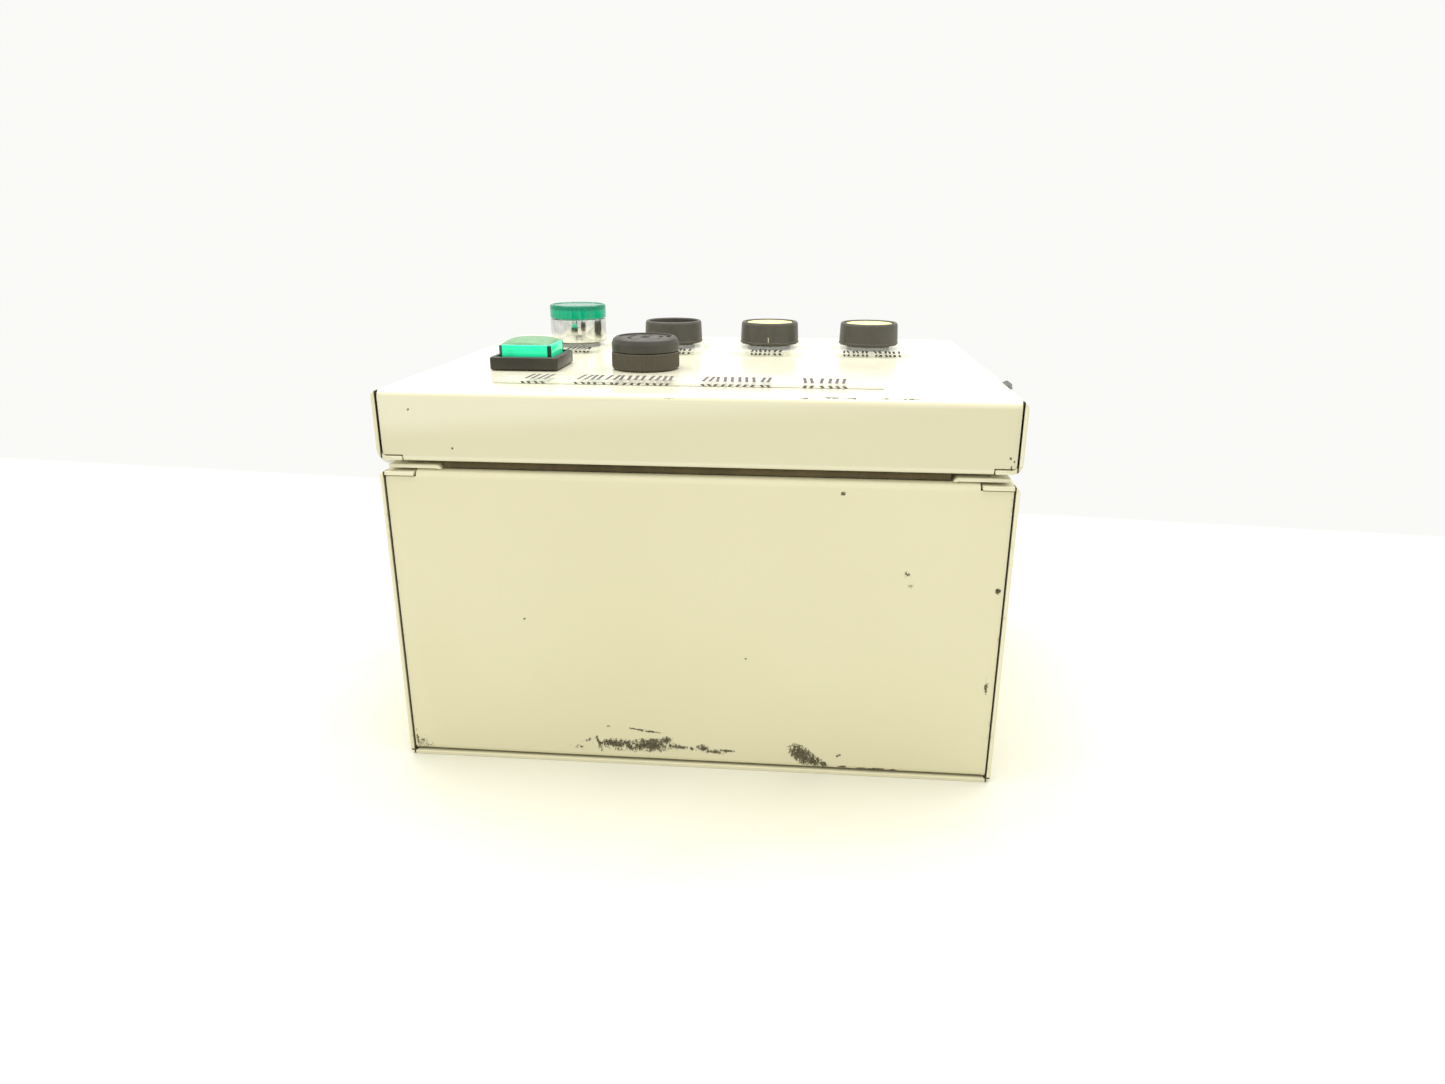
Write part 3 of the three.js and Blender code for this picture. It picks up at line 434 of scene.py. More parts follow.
M['rubber'] = worn("black_rubber", (0.030, 0.028, 0.026), (0.022, 0.020, 0.018), (0.14, 0.13, 0.11), 0.78, 900, 0.00018, spec=0.3, dust=0.5)
M['foam'] = worn("gasket_foam", (0.100, 0.076, 0.034), (0.060, 0.046, 0.022), (0.16, 0.13, 0.07), 0.92, 1900, 0.0004, spec=0.2, dust=0.2, scratch=0.0)
M['steel'] = plated("zinc_steel", (0.66, 0.655, 0.63), (0.50, 0.49, 0.47), 0.34, 0.5)
M['latch'] = plated("latch_steel", (0.60, 0.585, 0.55), (0.40, 0.38, 0.35), 0.27, 0.7, (900, 60, 60))
M['lever'] = plated("lever_steel", (0.25, 0.235, 0.225), (0.14, 0.13, 0.12), 0.28, 0.6, (900, 60, 60))
M['plate'] = plated("zinc_plate", (0.70, 0.68, 0.60), (0.55, 0.53, 0.45), 0.40, 0.35, (40, 900, 900))
M['brass'] = plated("brass_screw", (0.72, 0.55, 0.26), (0.55, 0.40, 0.18), 0.32, 0.4)
M['screw'] = plated("screw_steel", (0.62, 0.60, 0.55), (0.45, 0.43, 0.38), 0.33, 0.5)
M['core'] = plated("laminated_core", (0.36, 0.35, 0.34), (0.24, 0.23, 0.22), 0.45, 0.6, (1600, 60, 60))
M['coil'] = worn("coil_tape", (0.42, 0.20, 0.07), (0.34, 0.15, 0.05), (0.6, 0.4, 0.2), 0.42, 700, 0.0001)
# painted shade: dark colour for thin strips drawn along the front edges of the clear plates
M['edge_line'] = worn("painted_edge_shade", (0.10, 0.085, 0.055), (0.07, 0.06, 0.04), (0.2, 0.18, 0.13), 0.7, 900, 0.00002, spec=0.0, dust=0.0, scratch=0.0)
# colours for the print and for its painted reflection drawn on the front edges of the clear plates
M['ink_soft'] = worn("printed_ink_soft", (0.150, 0.130, 0.125), (0.110, 0.095, 0.092), (0.22, 0.20, 0.19), 0.7, 900, 0.00002, spec=0.0, dust=0.0, scratch=0.0)
M['ink'] = worn("printed_ink", (0.045, 0.043, 0.040), (0.030, 0.029, 0.027), (0.07, 0.07, 0.065), 0.7, 900, 0.00002, spec=0.0, dust=0.0, scratch=0.0)


def chrome():
    m, n, b = shader("bezel_chrome")
    v = n.coords()
    cloud = n.noise(v, 160, 5, 0.7)
    pits = n.ramp(n.noise(v, 1100, 4, 0.75), 0.62, 0.74)
    streak = n.ramp(n.noise(n.stretch(v, 420, 420, 60), 1.0, 4, 0.7), 0.52, 0.70)
    col = n.mix(n.ramp(cloud, 0.35, 0.7), rgb(0.60, 0.60, 0.56), rgb(0.82, 0.82, 0.78))
    col = n.mix(n.math('MULTIPLY', n.math('MAXIMUM', pits, n.math('MULTIPLY', streak, 0.35)), 0.55), col, rgb(0.30, 0.29, 0.25))
    n.link(col, b.inputs["Base Color"])
    b.inputs["Metallic"].default_value = 1.0
    n.link(n.math('ADD', n.ramp(cloud, 0.3, 0.75, 0.06, 0.20), n.math('MULTIPLY', pits, 0.2)), b.inputs["Roughness"])
    nb = n.bump(n.noise(v, 300, 3, 0.6), 0.22, 0.00018)
    nb = n.bump(pits, 0.3, 0.0001, nb)
    n.link(nb, b.inputs["Normal"])
    return m


def lens(name, col, deep, trans, rough, glow, glow_strength, spec=0.5, band=None, ribs=None):
    m, n, b = shader(name)
    v = n.coords()
    cloud = n.noise(v, 90, 4, 0.6)
    c = n.mix(n.ramp(cloud, 0.3, 0.7), rgb(*deep), rgb(*col))
    x, y, z = n.xyz(v)
    if ribs:
        turn = n.math('ARCTAN2', n.math('SUBTRACT', y, ribs[1] * MM), n.math('SUBTRACT', x, ribs[0] * MM))
        wave = n.ramp(n.math('SINE', n.math('MULTIPLY', turn, ribs[2])), -0.2, 0.9)
        c = n.mix(n.math('MULTIPLY', wave, n.ramp(cloud, 0.35, 0.65, 0.10, 0.40)), c, rgb(deep[0] * 0.6, deep[1] * 0.6, deep[2] * 0.6))
    if band:
        c = n.mix(n.math('MULTIPLY', n.ramp(z, band[0] * MM, band[1] * MM), 0.85), c, rgb(*band[2]))
    n.link(c, b.inputs["Base Color"])
    n.link(n.ramp(n.noise(v, 260, 4, 0.7), 0.3, 0.75, rough, rough + 0.10), b.inputs["Roughness"])
    b.inputs["IOR"].default_value = 1.49
    b.inputs["Specular IOR Level"].default_value = spec
    b.inputs["Transmission Weight"].default_value = trans
    # emission adds a glow to the lens colour; on the square lens it is painted light standing in for room light passing
    # through it
    b.inputs["Emission Color"].default_value = rgb(*glow)
    b.inputs["Emission Strength"].default_value = glow_strength
    nb = n.bump(n.noise(v, 420, 3, 0.5), 0.12, 0.0001)
    sc = n.ramp(n.noise(n.stretch(v, 40, 900, 900), 1.0, 3, 0.7), 0.66, 0.72)
    nb = n.bump(sc, 0.2, 0.00005, nb)
    n.link(nb, b.inputs["Normal"])
    return m


def clear(name, tint, alpha, edge_alpha):
    m, n, b = shader(name)
    v = n.coords()
    haze = n.noise(v, 160, 4, 0.65)
    n.link(n.ramp(haze, 0.3, 0.75, 0.05, 0.16), b.inputs["Roughness"])
    lw = n.new("ShaderNodeLayerWeight")
    lw.inputs["Blend"].default_value = 0.35
    geo = n.new("ShaderNodeNewGeometry")
    # painted shade: side faces are painted darker and more opaque, standing in for the darker look of the acrylic's
    # edges under the lamps
    side = n.ramp(n.math('ABSOLUTE', n.xyz(geo.outputs["Normal"])[2]), 0.97, 0.55)
    a = n.math('ADD', n.math('MULTIPLY', n.ramp(lw.outputs["Facing"], 0.55, 1.0), edge_alpha), alpha)
    a = n.math('MAXIMUM', a, n.math('MULTIPLY', side, 0.34))
    sc = n.ramp(n.noise(n.stretch(v, 60, 800, 800), 1.0, 3, 0.7), 0.66, 0.74)
    a = n.math('ADD', a, n.math('MULTIPLY', sc, 0.12), clamp=True)
    n.link(a, b.inputs["Alpha"])
    c = n.mix(n.ramp(haze, 0.3, 0.7), rgb(tint[0] * 0.94, tint[1] * 0.94, tint[2] * 0.90), rgb(*tint))
    c = n.mix(side, c, rgb(tint[0] * 0.62, tint[1] * 0.63, tint[2] * 0.55))
    n.link(c, b.inputs["Base Color"])
    b.inputs["IOR"].default_value = 1.49
    n.link(n.bump(n.noise(v, 200, 2, 0.5), 0.1, 0.0001), b.inputs["Normal"])
    return m


M['chrome'] = chrome()
M['green_round'] = lens("green_lens_round", (0.006, 0.53, 0.295), (0.004, 0.42, 0.23), 0.45, 0.06, (0.0, 0.40, 0.20), 0.08, 0.35, (178.0, 179.6, (0.003, 0.19, 0.105)), (FAR[0][0], FAR[0][1], 36))
# painted light: the square lens's sides carry a glow (emission) standing in for room light passing through them, a lit
# copy of the green beside the unlit top copy
M['green_square'] = lens("green_lens_square", (0.020, 0.82, 0.42), (0.014, 0.74, 0.37), 0.25, 0.08, (0.03, 0.84, 0.44), 0.34, 0.30)
M['green_top'] = lens("green_lens_top", (0.215, 0.38, 0.215), (0.165, 0.31, 0.17), 0.08, 0.26, (0.05, 0.30, 0.14), 0.0, 0.16)
M['green_dark'] = lens("green_lens_edge", (0.003, 0.055, 0.028), (0.002, 0.035, 0.018), 0.1, 0.16, (0.0, 0.1, 0.05), 0.0, 0.25)
M['diffuser'] = worn("lamp_diffuser", (0.55, 0.80, 0.62), (0.50, 0.74, 0.57), (0.8, 0.9, 0.8), 0.5, 900, 0.00004, dust=0.0, scratch=0.0)
M['clear'] = clear("clear_acrylic", (0.93, 0.94, 0.86), 0.10, 0.30)


def wire_mat(name, c):
    return worn(name, c, tuple(k * 0.8 for k in c), tuple(min(1.0, k + 0.25) for k in c), 0.42, 500, 0.00005, dust=0.15, scratch=0.1)


WIRES = [wire_mat("wire_yellow", (0.62, 0.50, 0.03)), wire_mat("wire_red", (0.42, 0.03, 0.02)), wire_mat("wire_blue", (0.03, 0.08, 0.36)),
         wire_mat("wire_black", (0.02, 0.02, 0.02)), wire_mat("wire_white", (0.66, 0.64, 0.56)), wire_mat("wire_green", (0.03, 0.26, 0.07))]
M['tie'] = worn("cable_tie", (0.55, 0.52, 0.42), (0.45, 0.42, 0.33), (0.7, 0.68, 0.6), 0.4, 900, 0.00004)


# ---------------------------------------------------------------------------
# geometry helpers: everything in millimetres in the row frame
# ---------------------------------------------------------------------------
def fillet(points, radii, steps=4, closed=False):
    """Rounds the corners of a polyline. radii: one number or one per point."""
    n = len(points)
    out = []
    for i, p in enumerate(points):
        r = radii[i] if isinstance(radii, (list, tuple)) else radii
        if (not closed and i in (0, n - 1)) or r <= 0:
            out.append(tuple(p))
            continue
        a, c = Vector(points[i - 1]), Vector(points[(i + 1) % n])
        q = Vector(p)
        u, w = (a - q), (c - q)
        lu, lw = u.length, w.length
        u.normalize(); w.normalize()
        ang = math.acos(max(-1, min(1, u.dot(w))))
        if ang > math.pi - 0.02 or ang < 0.02:
            out.append(tuple(p))
            continue
        back = min(r / math.tan(ang / 2), lu * 0.49, lw * 0.49)
        rr = back * math.tan(ang / 2)
        bis = (u + w).normalized()
        ctr = q + bis * (rr / math.sin(ang / 2))
        s, e = q + u * back - ctr, q + w * back - ctr
        a0, a1 = math.atan2(s.y, s.x), math.atan2(e.y, e.x)
        d = (a1 - a0 + math.pi) % (2 * math.pi) - math.pi
        for k in range(steps + 1):
            t = a0 + d * k / steps
            out.append((ctr.x + rr * math.cos(t), ctr.y + rr * math.sin(t)))
    return out


def g_lathe(profile, cx=0.0, cy=0.0, seg=96, closed=False):
    verts, faces, rings = [], [], []
    for r, z in profile:
        if abs(r) < 1e-6:
            rings.append([len(verts)])
            verts.append((cx, cy, z))
        else:
            rings.append(list(range(len(verts), len(verts) + seg)))
            for k in range(seg):
                a = 2 * math.pi * k / seg
                verts.append((cx + r * math.cos(a), cy + r * math.sin(a), z))
    pairs = list(zip(rings, rings[1:])) + ([(rings[-1], rings[0])] if closed else [])
    for a, b in pairs:
        for k in range(seg):
            k2 = (k + 1) % seg
            if len(a) == 1 and len(b) == 1:
                break
            if len(a) == 1:
                faces.append((a[0], b[k2], b[k]))
            elif len(b) == 1:
                faces.append((a[k], a[k2], b[0]))
            else:
                faces.append((a[k], a[k2], b[k2], b[k]))
    return verts, faces


def g_loft(rings):
    """Closed solid through rings of equal count, capped at both ends."""
    n = len(rings[0])
    verts = [p for r in rings for p in r]
    faces = []
    for i in range(len(rings) - 1):
        for k in range(n):
            k2 = (k + 1) % n
            faces.append((i * n + k, i * n + k2, (i + 1) * n + k2, (i + 1) * n + k))
    faces.append(tuple(range(n - 1, -1, -1)))
    faces.append(tuple(range((len(rings) - 1) * n, len(rings) * n)))
    return verts, faces


def g_prism(outline, axis, s0, s1):
    put = {'Z': lambda a, b, s: (a, b, s), 'Y': lambda a, b, s: (a, s, b), 'X': lambda a, b, s: (s, a, b)}[axis]
    return g_loft([[put(a, b, s0) for a, b in outline], [put(a, b, s1) for a, b in outline]])


def g_bevel(geo, width, segments=2, angle=35):
    bm = bmesh.new()
    vs = [bm.verts.new(v) for v in geo[0]]
    for f in geo[1]:
        try:
            bm.faces.new([vs[i] for i in f])
        except ValueError:
            pass
    bmesh.ops.remove_doubles(bm, verts=bm.verts, dist=1e-5)
    bmesh.ops.recalc_face_normals(bm, faces=bm.faces)
    edges = [e for e in bm.edges if len(e.link_faces) == 2 and e.calc_face_angle(0) > math.radians(angle)]
    if edges and width > 0:
        bmesh.ops.bevel(bm, geom=edges, offset=width, offset_type='OFFSET', segments=segments, profile=0.5, affect='EDGES', clamp_overlap=True)
    out = from_bm(bm)
    return out


def from_bm(bm):
    bm.verts.ensure_lookup_table()
    for i, v in enumerate(bm.verts):
        v.index = i
    out = [tuple(v.co) for v in bm.verts], [tuple(v.index for v in f.verts) for f in bm.faces]
    bm.free()
    return out


def g_box(x0, x1, y0, y1, z0, z1, b=0.3, seg=2):
    v = [(x, y, z) for z in (z0, z1) for y in (y0, y1) for x in (x0, x1)]
    f = [(0, 2, 3, 1), (4, 5, 7, 6), (0, 1, 5, 4), (2, 6, 7, 3), (0, 4, 6, 2), (1, 3, 7, 5)]
    return g_bevel((v, f), b, seg) if b > 0 else (v, f)


def g_move(geo, m):
    return [tuple(m @ Vector(v)) for v in geo[0]], geo[1]


def g_shift(geo, x=0, y=0, z=0):
    return [(a + x, b + y, c + z) for a, b, c in geo[0]], geo[1]


def smooth_path(points, per=8):
    """Centripetal-like Catmull-Rom through the points."""
    P = [Vector(p) for p in points]
    P = [P[0] * 2 - P[1]] + P + [P[-1] * 2 - P[-2]]
    out = []
    for i in range(1, len(P) - 2):
        p0, p1, p2, p3 = P[i - 1], P[i], P[i + 1], P[i + 2]
        t1 = (p2 - p1).length ** 0.5
        t0, t2 = max((p1 - p0).length ** 0.5, 1e-4), max((p3 - p2).length ** 0.5, 1e-4)
        m1 = (p1 - p0) / t0 - (p2 - p0) / (t0 + t1) + (p2 - p1) / t1
        m2 = (p2 - p1) / t1 - (p3 - p1) / (t1 + t2) + (p3 - p2) / t2
        m1 *= t1; m2 *= t1
        for k in range(per):
            t = k / per
            out.append(p1 * (2 * t ** 3 - 3 * t ** 2 + 1) + m1 * (t ** 3 - 2 * t ** 2 + t) + p2 * (-2 * t ** 3 + 3 * t ** 2) + m2 * (t ** 3 - t ** 2))
    out.append(P[-2])
    return out


def frames(path):
    fr = []
    t = (path[1] - path[0]).normalized()
    up = Vector((0, 0, 1)) if abs(t.z) < 0.9 else Vector((0, 1, 0))
    u = t.cross(up).normalized()
    for i, p in enumerate(path):
        a, b = path[max(i - 1, 0)], path[min(i + 1, len(path) - 1)]
        t2 = (b - a).normalized()
        q = t.rotation_difference(t2)
        u = (q @ u)
        u = (u - t2 * u.dot(t2)).normalized()
        t = t2
        fr.append((p, t, u, t.cross(u).normalized()))
    return fr


def g_tube(path, r, sides=14, taper=None):
    rings = []
    fr = frames(path)
    for i, (p, t, u, w) in enumerate(fr):
        rr = r if taper is None else taper(i / (len(fr) - 1)) * r
        rings.append([tuple(p + u * (rr * math.cos(2 * math.pi * k / sides)) + w * (rr * math.sin(2 * math.pi * k / sides))) for k in range(sides)])
    return g_loft(rings)


def bar_geo(r, p0, p1, seg=28, cham=0.0):
    """Round bar between two points, with chamfered ends."""
    a, b = Vector(p0), Vector(p1)
    L = (b - a).length
    prof = [(0, 0), (r - cham, 0), (r, cham), (r, L - cham), (r - cham, L), (0, L)] if cham else [(0, 0), (r, 0), (r, L), (0, L)]
    geo = g_lathe(prof, seg=seg)
    q = Vector((0, 0, 1)).rotation_difference((b - a).normalized())
    return g_move(geo, Matrix.Translation(a) @ q.to_matrix().to_4x4())


def temp(geo, name="tmp"):
    me = bpy.data.meshes.new(name)
    me.from_pydata([Vector(v) for v in geo[0]], [], geo[1])
    bm = bmesh.new(); bm.from_mesh(me)
    bmesh.ops.remove_doubles(bm, verts=bm.verts, dist=1e-5)
    bmesh.ops.recalc_face_normals(bm, faces=bm.faces)
    bm.to_mesh(me); bm.free()
    ob = bpy.data.objects.new(name, me)
    bpy.context.scene.collection.objects.link(ob)
    return ob


def boolean(geo, ops):
    """ops: list of ('UNION' | 'DIFFERENCE' | 'INTERSECT', geo)."""
    base = temp(geo)
    tools = []
    for op, g in ops:
        t = temp(g, "tool")
        tools.append(t)
        mod = base.modifiers.new("b", 'BOOLEAN')
        mod.operation, mod.object, mod.solver = op, t, 'EXACT'
    bpy.context.view_layer.update()
    dg = bpy.context.evaluated_depsgraph_get()
    ev = base.evaluated_get(dg)
    me = bpy.data.meshes.new_from_object(ev)
    out = [tuple(v.co) for v in me.vertices], [tuple(p.vertices) for p in me.polygons]
    for o in [base] + tools:
        d = o.data
        bpy.data.objects.remove(o)
        bpy.data.meshes.remove(d)
    bpy.data.meshes.remove(me)
    return out


def sheet_ring(path, t, radius, side, steps, off=0.0, lip=0.35):
    """Outline of a folded sheet of thickness t, shrunk by off, its free edges rounded by lip."""
    n = len(path)
    V = [Vector(p) for p in path]
    d0 = (V[1] - V[0]).normalized(); V[0] = V[0] + d0 * off
    d1 = (V[-1] - V[-2]).normalized(); V[-1] = V[-1] - d1 * off
    left = lambda d: Vector((-d.y, d.x)) * side
    outer, inner = [], []
    for i in range(n):
        if i in (0, n - 1):
            d = (V[1] - V[0]).normalized() if i == 0 else (V[-1] - V[-2]).normalized()
            m = left(d)
            outer.append(V[i] + m * off)
            inner.append(V[i] + m * (t - off))
            continue
        a, b = (V[i] - V[i - 1]).normalized(), (V[i + 1] - V[i]).normalized()
        r = radius[i - 1] if isinstance(radius, (list, tuple)) else radius
        turn = math.acos(max(-1, min(1, a.dot(b))))
        start = V[i] - a * (r * math.tan(turn / 2))
        ctr = start + left(a) * r
        for k in range(steps + 1):
            ang = turn * k / steps * side
            v = start - ctr
            q = Vector((v.x * math.cos(ang) - v.y * math.sin(ang), v.x * math.sin(ang) + v.y * math.cos(ang)))
            outer.append(ctr + q * ((r - off) / r))
            inner.append(ctr + q * ((r - t + off) / r))
    lp = max(0.02, lip - off * 0.6)
    ring = []

    def corner(p, u, w):
        for k in range(4):
            s = k / 3 * math.pi / 2
            ring.append(p + u * (lp * (1 - math.sin(s))) + w * (lp * (1 - math.cos(s))))
    # start edge: inner[0] -> outer[0]
    m0 = left(d0)
    corner(outer[0], m0, d0)
    ring.extend(outer[1:-1])
    m1 = left(d1)
    corner(outer[-1], -d1, m1)
    corner(inner[-1], -m1, -d1)
    ring.extend(reversed(inner[1:-1]))
    corner(inner[0], d0, -m0)
    return [(p.x, p.y) for p in ring]


def sheet_geo(path, t, radius, side, axis, s0, s1, steps=8, round_=0.3, lip=0.35):
    put = {'Y': lambda a, b, s: (a, s, b), 'X': lambda a, b, s: (s, a, b)}[axis]
    rings = []
    for k in range(4):
        a = k / 3 * math.pi / 2
        rings.append([put(p[0], p[1], s0 + round_ * (1 - math.sin(a))) for p in sheet_ring(path, t, radius, side, steps, round_ * (1 - math.cos(a)), lip)])
    rings.reverse()
    for k in range(4):
        a = k / 3 * math.pi / 2
        rings.append([put(p[0], p[1], s1 - round_ * (1 - math.sin(a))) for p in sheet_ring(path, t, radius, side, steps, round_ * (1 - math.cos(a)), lip)])
    return g_loft(rings)


class Piece:
    """Collects solids with their materials into one mesh object."""

    def __init__(self, name):
        self.name, self.verts, self.faces, self.idx, self.mats = name, [], [], [], []

    def add(self, geo, mat):
        if mat not in self.mats:
            self.mats.append(mat)
        k = self.mats.index(mat)
        o = len(self.verts)
        self.verts.extend(geo[0])
        self.faces.extend(tuple(i + o for i in f) for f in geo[1])
        self.idx.extend([k] * len(geo[1]))
        return self

    def build(self, body, replaces=(), slot=None, sharp=32, weighted=False, ride=True):
        me = bpy.data.meshes.new(self.name)
        me.from_pydata([Vector(v) * MM for v in self.verts], [], self.faces)
        for m in self.mats:
            me.materials.append(m)
        me.polygons.foreach_set("material_index", self.idx)
        bm = bmesh.new(); bm.from_mesh(me)
        bmesh.ops.remove_doubles(bm, verts=bm.verts, dist=1e-8)
        bmesh.ops.dissolve_degenerate(bm, edges=bm.edges, dist=1e-8)
        bmesh.ops.recalc_face_normals(bm, faces=bm.faces)
        bm.to_mesh(me); bm.free()
        me.shade_smooth()
        me.set_sharp_from_angle(angle=math.radians(sharp))
        ob = bpy.data.objects.new(self.name, me)
        bpy.context.scene.collection.objects.link(ob)
        if weighted:
            w = ob.modifiers.new("weighted", 'WEIGHTED_NORMAL')
            w.keep_sharp = True
            w.weight = 80
        if ride:
            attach(ob, body)
        if replaces:
            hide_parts(*([replaces] if isinstance(replaces, str) else replaces))
        return ob


# ---------------------------------------------------------------------------
# enclosure sheet metal
# ---------------------------------------------------------------------------
def enclosure():
    path = [(-HW + 14, BODY_TOP), (-HW, BODY_TOP), (-HW, 0), (HW, 0), (HW, BODY_TOP), (HW - 14, BODY_TOP)]
    wrap = sheet_geo(path, T, [2.6, 3, 3, 2.6], 1, 'Y', -HL, HL, 8)
    holes = [('DIFFERENCE', g_shift(g_lathe([(0, -1), (3.5, -1), (3.5, 3), (0, 3)], seg=40), sx * 113.5, sy * 72)) for sx in (-1, 1) for sy in (-1, 1)]
    wrap = boolean(wrap, holes)
    p = Piece("wrap_sheet").add(wrap, M['paint_wrap'])
    for sx in (-1, 1):
        for sy in (-1, 1):
            z = 11.7
            prof = [(0, 1.2), (6.2, 1.2), (5.2, 2.2), (5, 3.2), (5, z - 0.3), (4.7, z), (3, z)]
            zz = z
            while zz < 20.0:
                prof += [(3.0, zz + 0.15), (2.6, zz + 0.5), (2.6, zz + 0.6), (3.0, zz + 0.95)]
                zz += 1.0
            prof += [(2.5, 20.5), (0, 20.5)]
            p.add(g_shift(g_lathe(prof, seg=32), sx * 98, sy * 58), M['screw'])
    p.build("enclosure", "body_wrap", "cream_paint", sharp=34, weighted=True)

    def wall(sign, entries):
        y0 = END_Y
        x1, xr, z0 = HW - T - 0.5, HW - 14 - 0.6, T + 0.5
        full = sheet_geo([(y0 + 12, z0), (y0, z0), (y0, END_TOP), (y0 + 14.5, END_TOP)], T, [2.2, 3.2], -1, 'X', -xr, xr, 8, 0.3)
        low_path = [(y0 + 12, z0), (y0, z0), (y0, 125.8)]
        ops = []
        for s in (-1, 1):
            ops.append(('UNION', sheet_geo(low_path, T, [2.2], -1, 'X', -x1 if s < 0 else xr - 2, -xr + 2 if s < 0 else x1, 8, 0.25)))
            ops.append(('UNION', g_box(-x1 if s < 0 else x1 - T, -x1 + T if s < 0 else x1, y0 + 0.5, y0 + 13, z0 + 0.5, 125.6, 0)))
        for x in entries:
            ops.append(('DIFFERENCE', bar_geo(11.2, (x, y0 - 3, 52), (x, y0 + 4, 52), 64)))
        geo = boolean(full, ops)
        if sign > 0:
            geo = g_move(geo, Matrix.Rotation(math.pi, 4, 'Z'))
        return geo
    Piece("end_wall_near").add(wall(-1, []), M['paint_near']).build("enclosure", "end_wall_top", "cream_paint", sharp=34, weighted=True)
    Piece("end_wall_far").add(wall(1, [-30, 30]), M['paint_far']).build("enclosure", "end_wall_bottom", "cream_paint", sharp=34, weighted=True)

    for s, node in ((-1, "side_rail_left"), (1, "side_rail_right")):
        z1 = hi(node).z
        a = [((lo(node).x if s < 0 else hi(node).x), z1), (s * 100, z1), (s * 100, 117)]
        rail = sheet_geo(a, T, 2.2, 1 if s > 0 else -1, 'Y', lo(node).y, hi(node).y, 8, 0.35)
        cuts = [('DIFFERENCE', g_box(98 if s > 0 else -104, 104 if s > 0 else -98, yy0, yy1, 100, 128.8, 0)) for yy0, yy1 in ((-101, -83.8), (83.8, 101))]
        Piece("rail_right" if s > 0 else "rail_left").add(boolean(rail, cuts), M['paint_rail']).build("enclosure", node, "cream_paint", sharp=34, weighted=True)

    for node in ("gasket_near", "gasket_far", "gasket_left", "gasket_right"):
        a, b = lo(node), hi(node)
        long_x = (b.x - a.x) > (b.y - a.y)
        n = 60
        rings = []
        rnd = random.Random(hash(len(node)) % 97 + int(a.x))
        for i in range(n + 1):
            s = i / n
            amp = 0.10
            ja, jb = rnd.uniform(-amp, 0), rnd.uniform(-amp, 0)
            if long_x:
                x = a.x + (b.x - a.x) * s
                o = fillet([(a.y - ja, a.z), (b.y + jb, a.z), (b.y + jb, b.z), (a.y - ja, b.z)], 0.45, 3, True)
                rings.append([(x, p[0], p[1]) for p in o])
            else:
                y = a.y + (b.y - a.y) * s
                o = fillet([(a.x - ja, a.z), (b.x + jb, a.z), (b.x + jb, b.z), (a.x - ja, b.z)], 0.45, 3, True)
                rings.append([(p[0], y, p[1]) for p in o])
        Piece("foam_" + node[7:]).add(g_loft(rings), M['foam']).build("enclosure", node, "gasket_foam", sharp=50)

    for i, x in enumerate((-30, 30)):
        prof = fillet([(0, -3.2), (13.4, -3.2), (13.4, -1.1), (10.9, -1.1), (10.9, 1.1), (13.4, 1.1), (12.6, 2.6), (8.0, 2.9), (7.6, 2.4), (0, 2.2)], [0, 0.6, 0.4, 0.2, 0.2, 0.4, 0.8, 0.3, 0.3, 0], 4)
        g = g_lathe(prof, seg=72)
        g = g_move(g, Matrix.Translation((x, 98.4, 52)) @ Matrix.Rotation(-math.pi / 2, 4, 'X'))
        Piece("grommet_%d" % (i + 1)).add(g, M['rubber']).build("enclosure", "cable_grommet_%d" % (i + 1), "black_rubber", sharp=40)


enclosure()


# ---------------------------------------------------------------------------
# door pan
# ---------------------------------------------------------------------------
def door_pan():
    z1, z0 = DOOR_TOP, DOOR_Z0
    side = sheet_geo([(-HW + 10, z0 + 0.5), (-HW, z0 + 0.5), (-HW, z1), (HW, z1), (HW, z0 + 0.5), (HW - 10, z0 + 0.5)], T, [4, 2.6, 2.6, 4], -1, 'Y', -HL, HL, 8, 0.3)
    xi, yn = HW - T, -HL + 0.7
    pan = boolean(side, [('DIFFERENCE', g_box(-xi, xi, -HL - 1, yn + 3.4, z1 - 3, z1 + 1, 0)), ('DIFFERENCE', g_box(-xi, xi, -yn - 3.4, HL + 1, z1 - 3, z1 + 1, 0))])
    end = sheet_geo([(yn + 12, z0), (yn, z0), (yn, z1), (-yn, z1), (-yn, z0), (-yn - 12, z0)], T, [2, 3, 3, 2], -1, 'X', -xi + 0.5, xi - 0.5, 8, 0.25)
    xn = HW - 10 - 0.4
    end = boolean(end, [('DIFFERENCE', g_box(-xi - 1, -xn, -HL, HL, z0 - 1, z0 + 2.6, 0)), ('DIFFERENCE', g_box(xn, xi + 1, -HL, HL, z0 - 1, z0 + 2.6, 0))])
    ops = [('UNION', end)]
    for x, y in FAR + [SQ, BZ]:
        ops.append(('DIFFERENCE', g_shift(g_lathe([(0, z1 - 4), (HOLE_R, z1 - 4), (HOLE_R, z1 + 2), (0, z1 + 2)], seg=64), x, y)))
    pan = boolean(pan, ops)
    Piece("door_sheet").add(pan, M['paint_door']).build("door", "door_pan", "cream_paint", sharp=34, weighted=True)


door_pan()


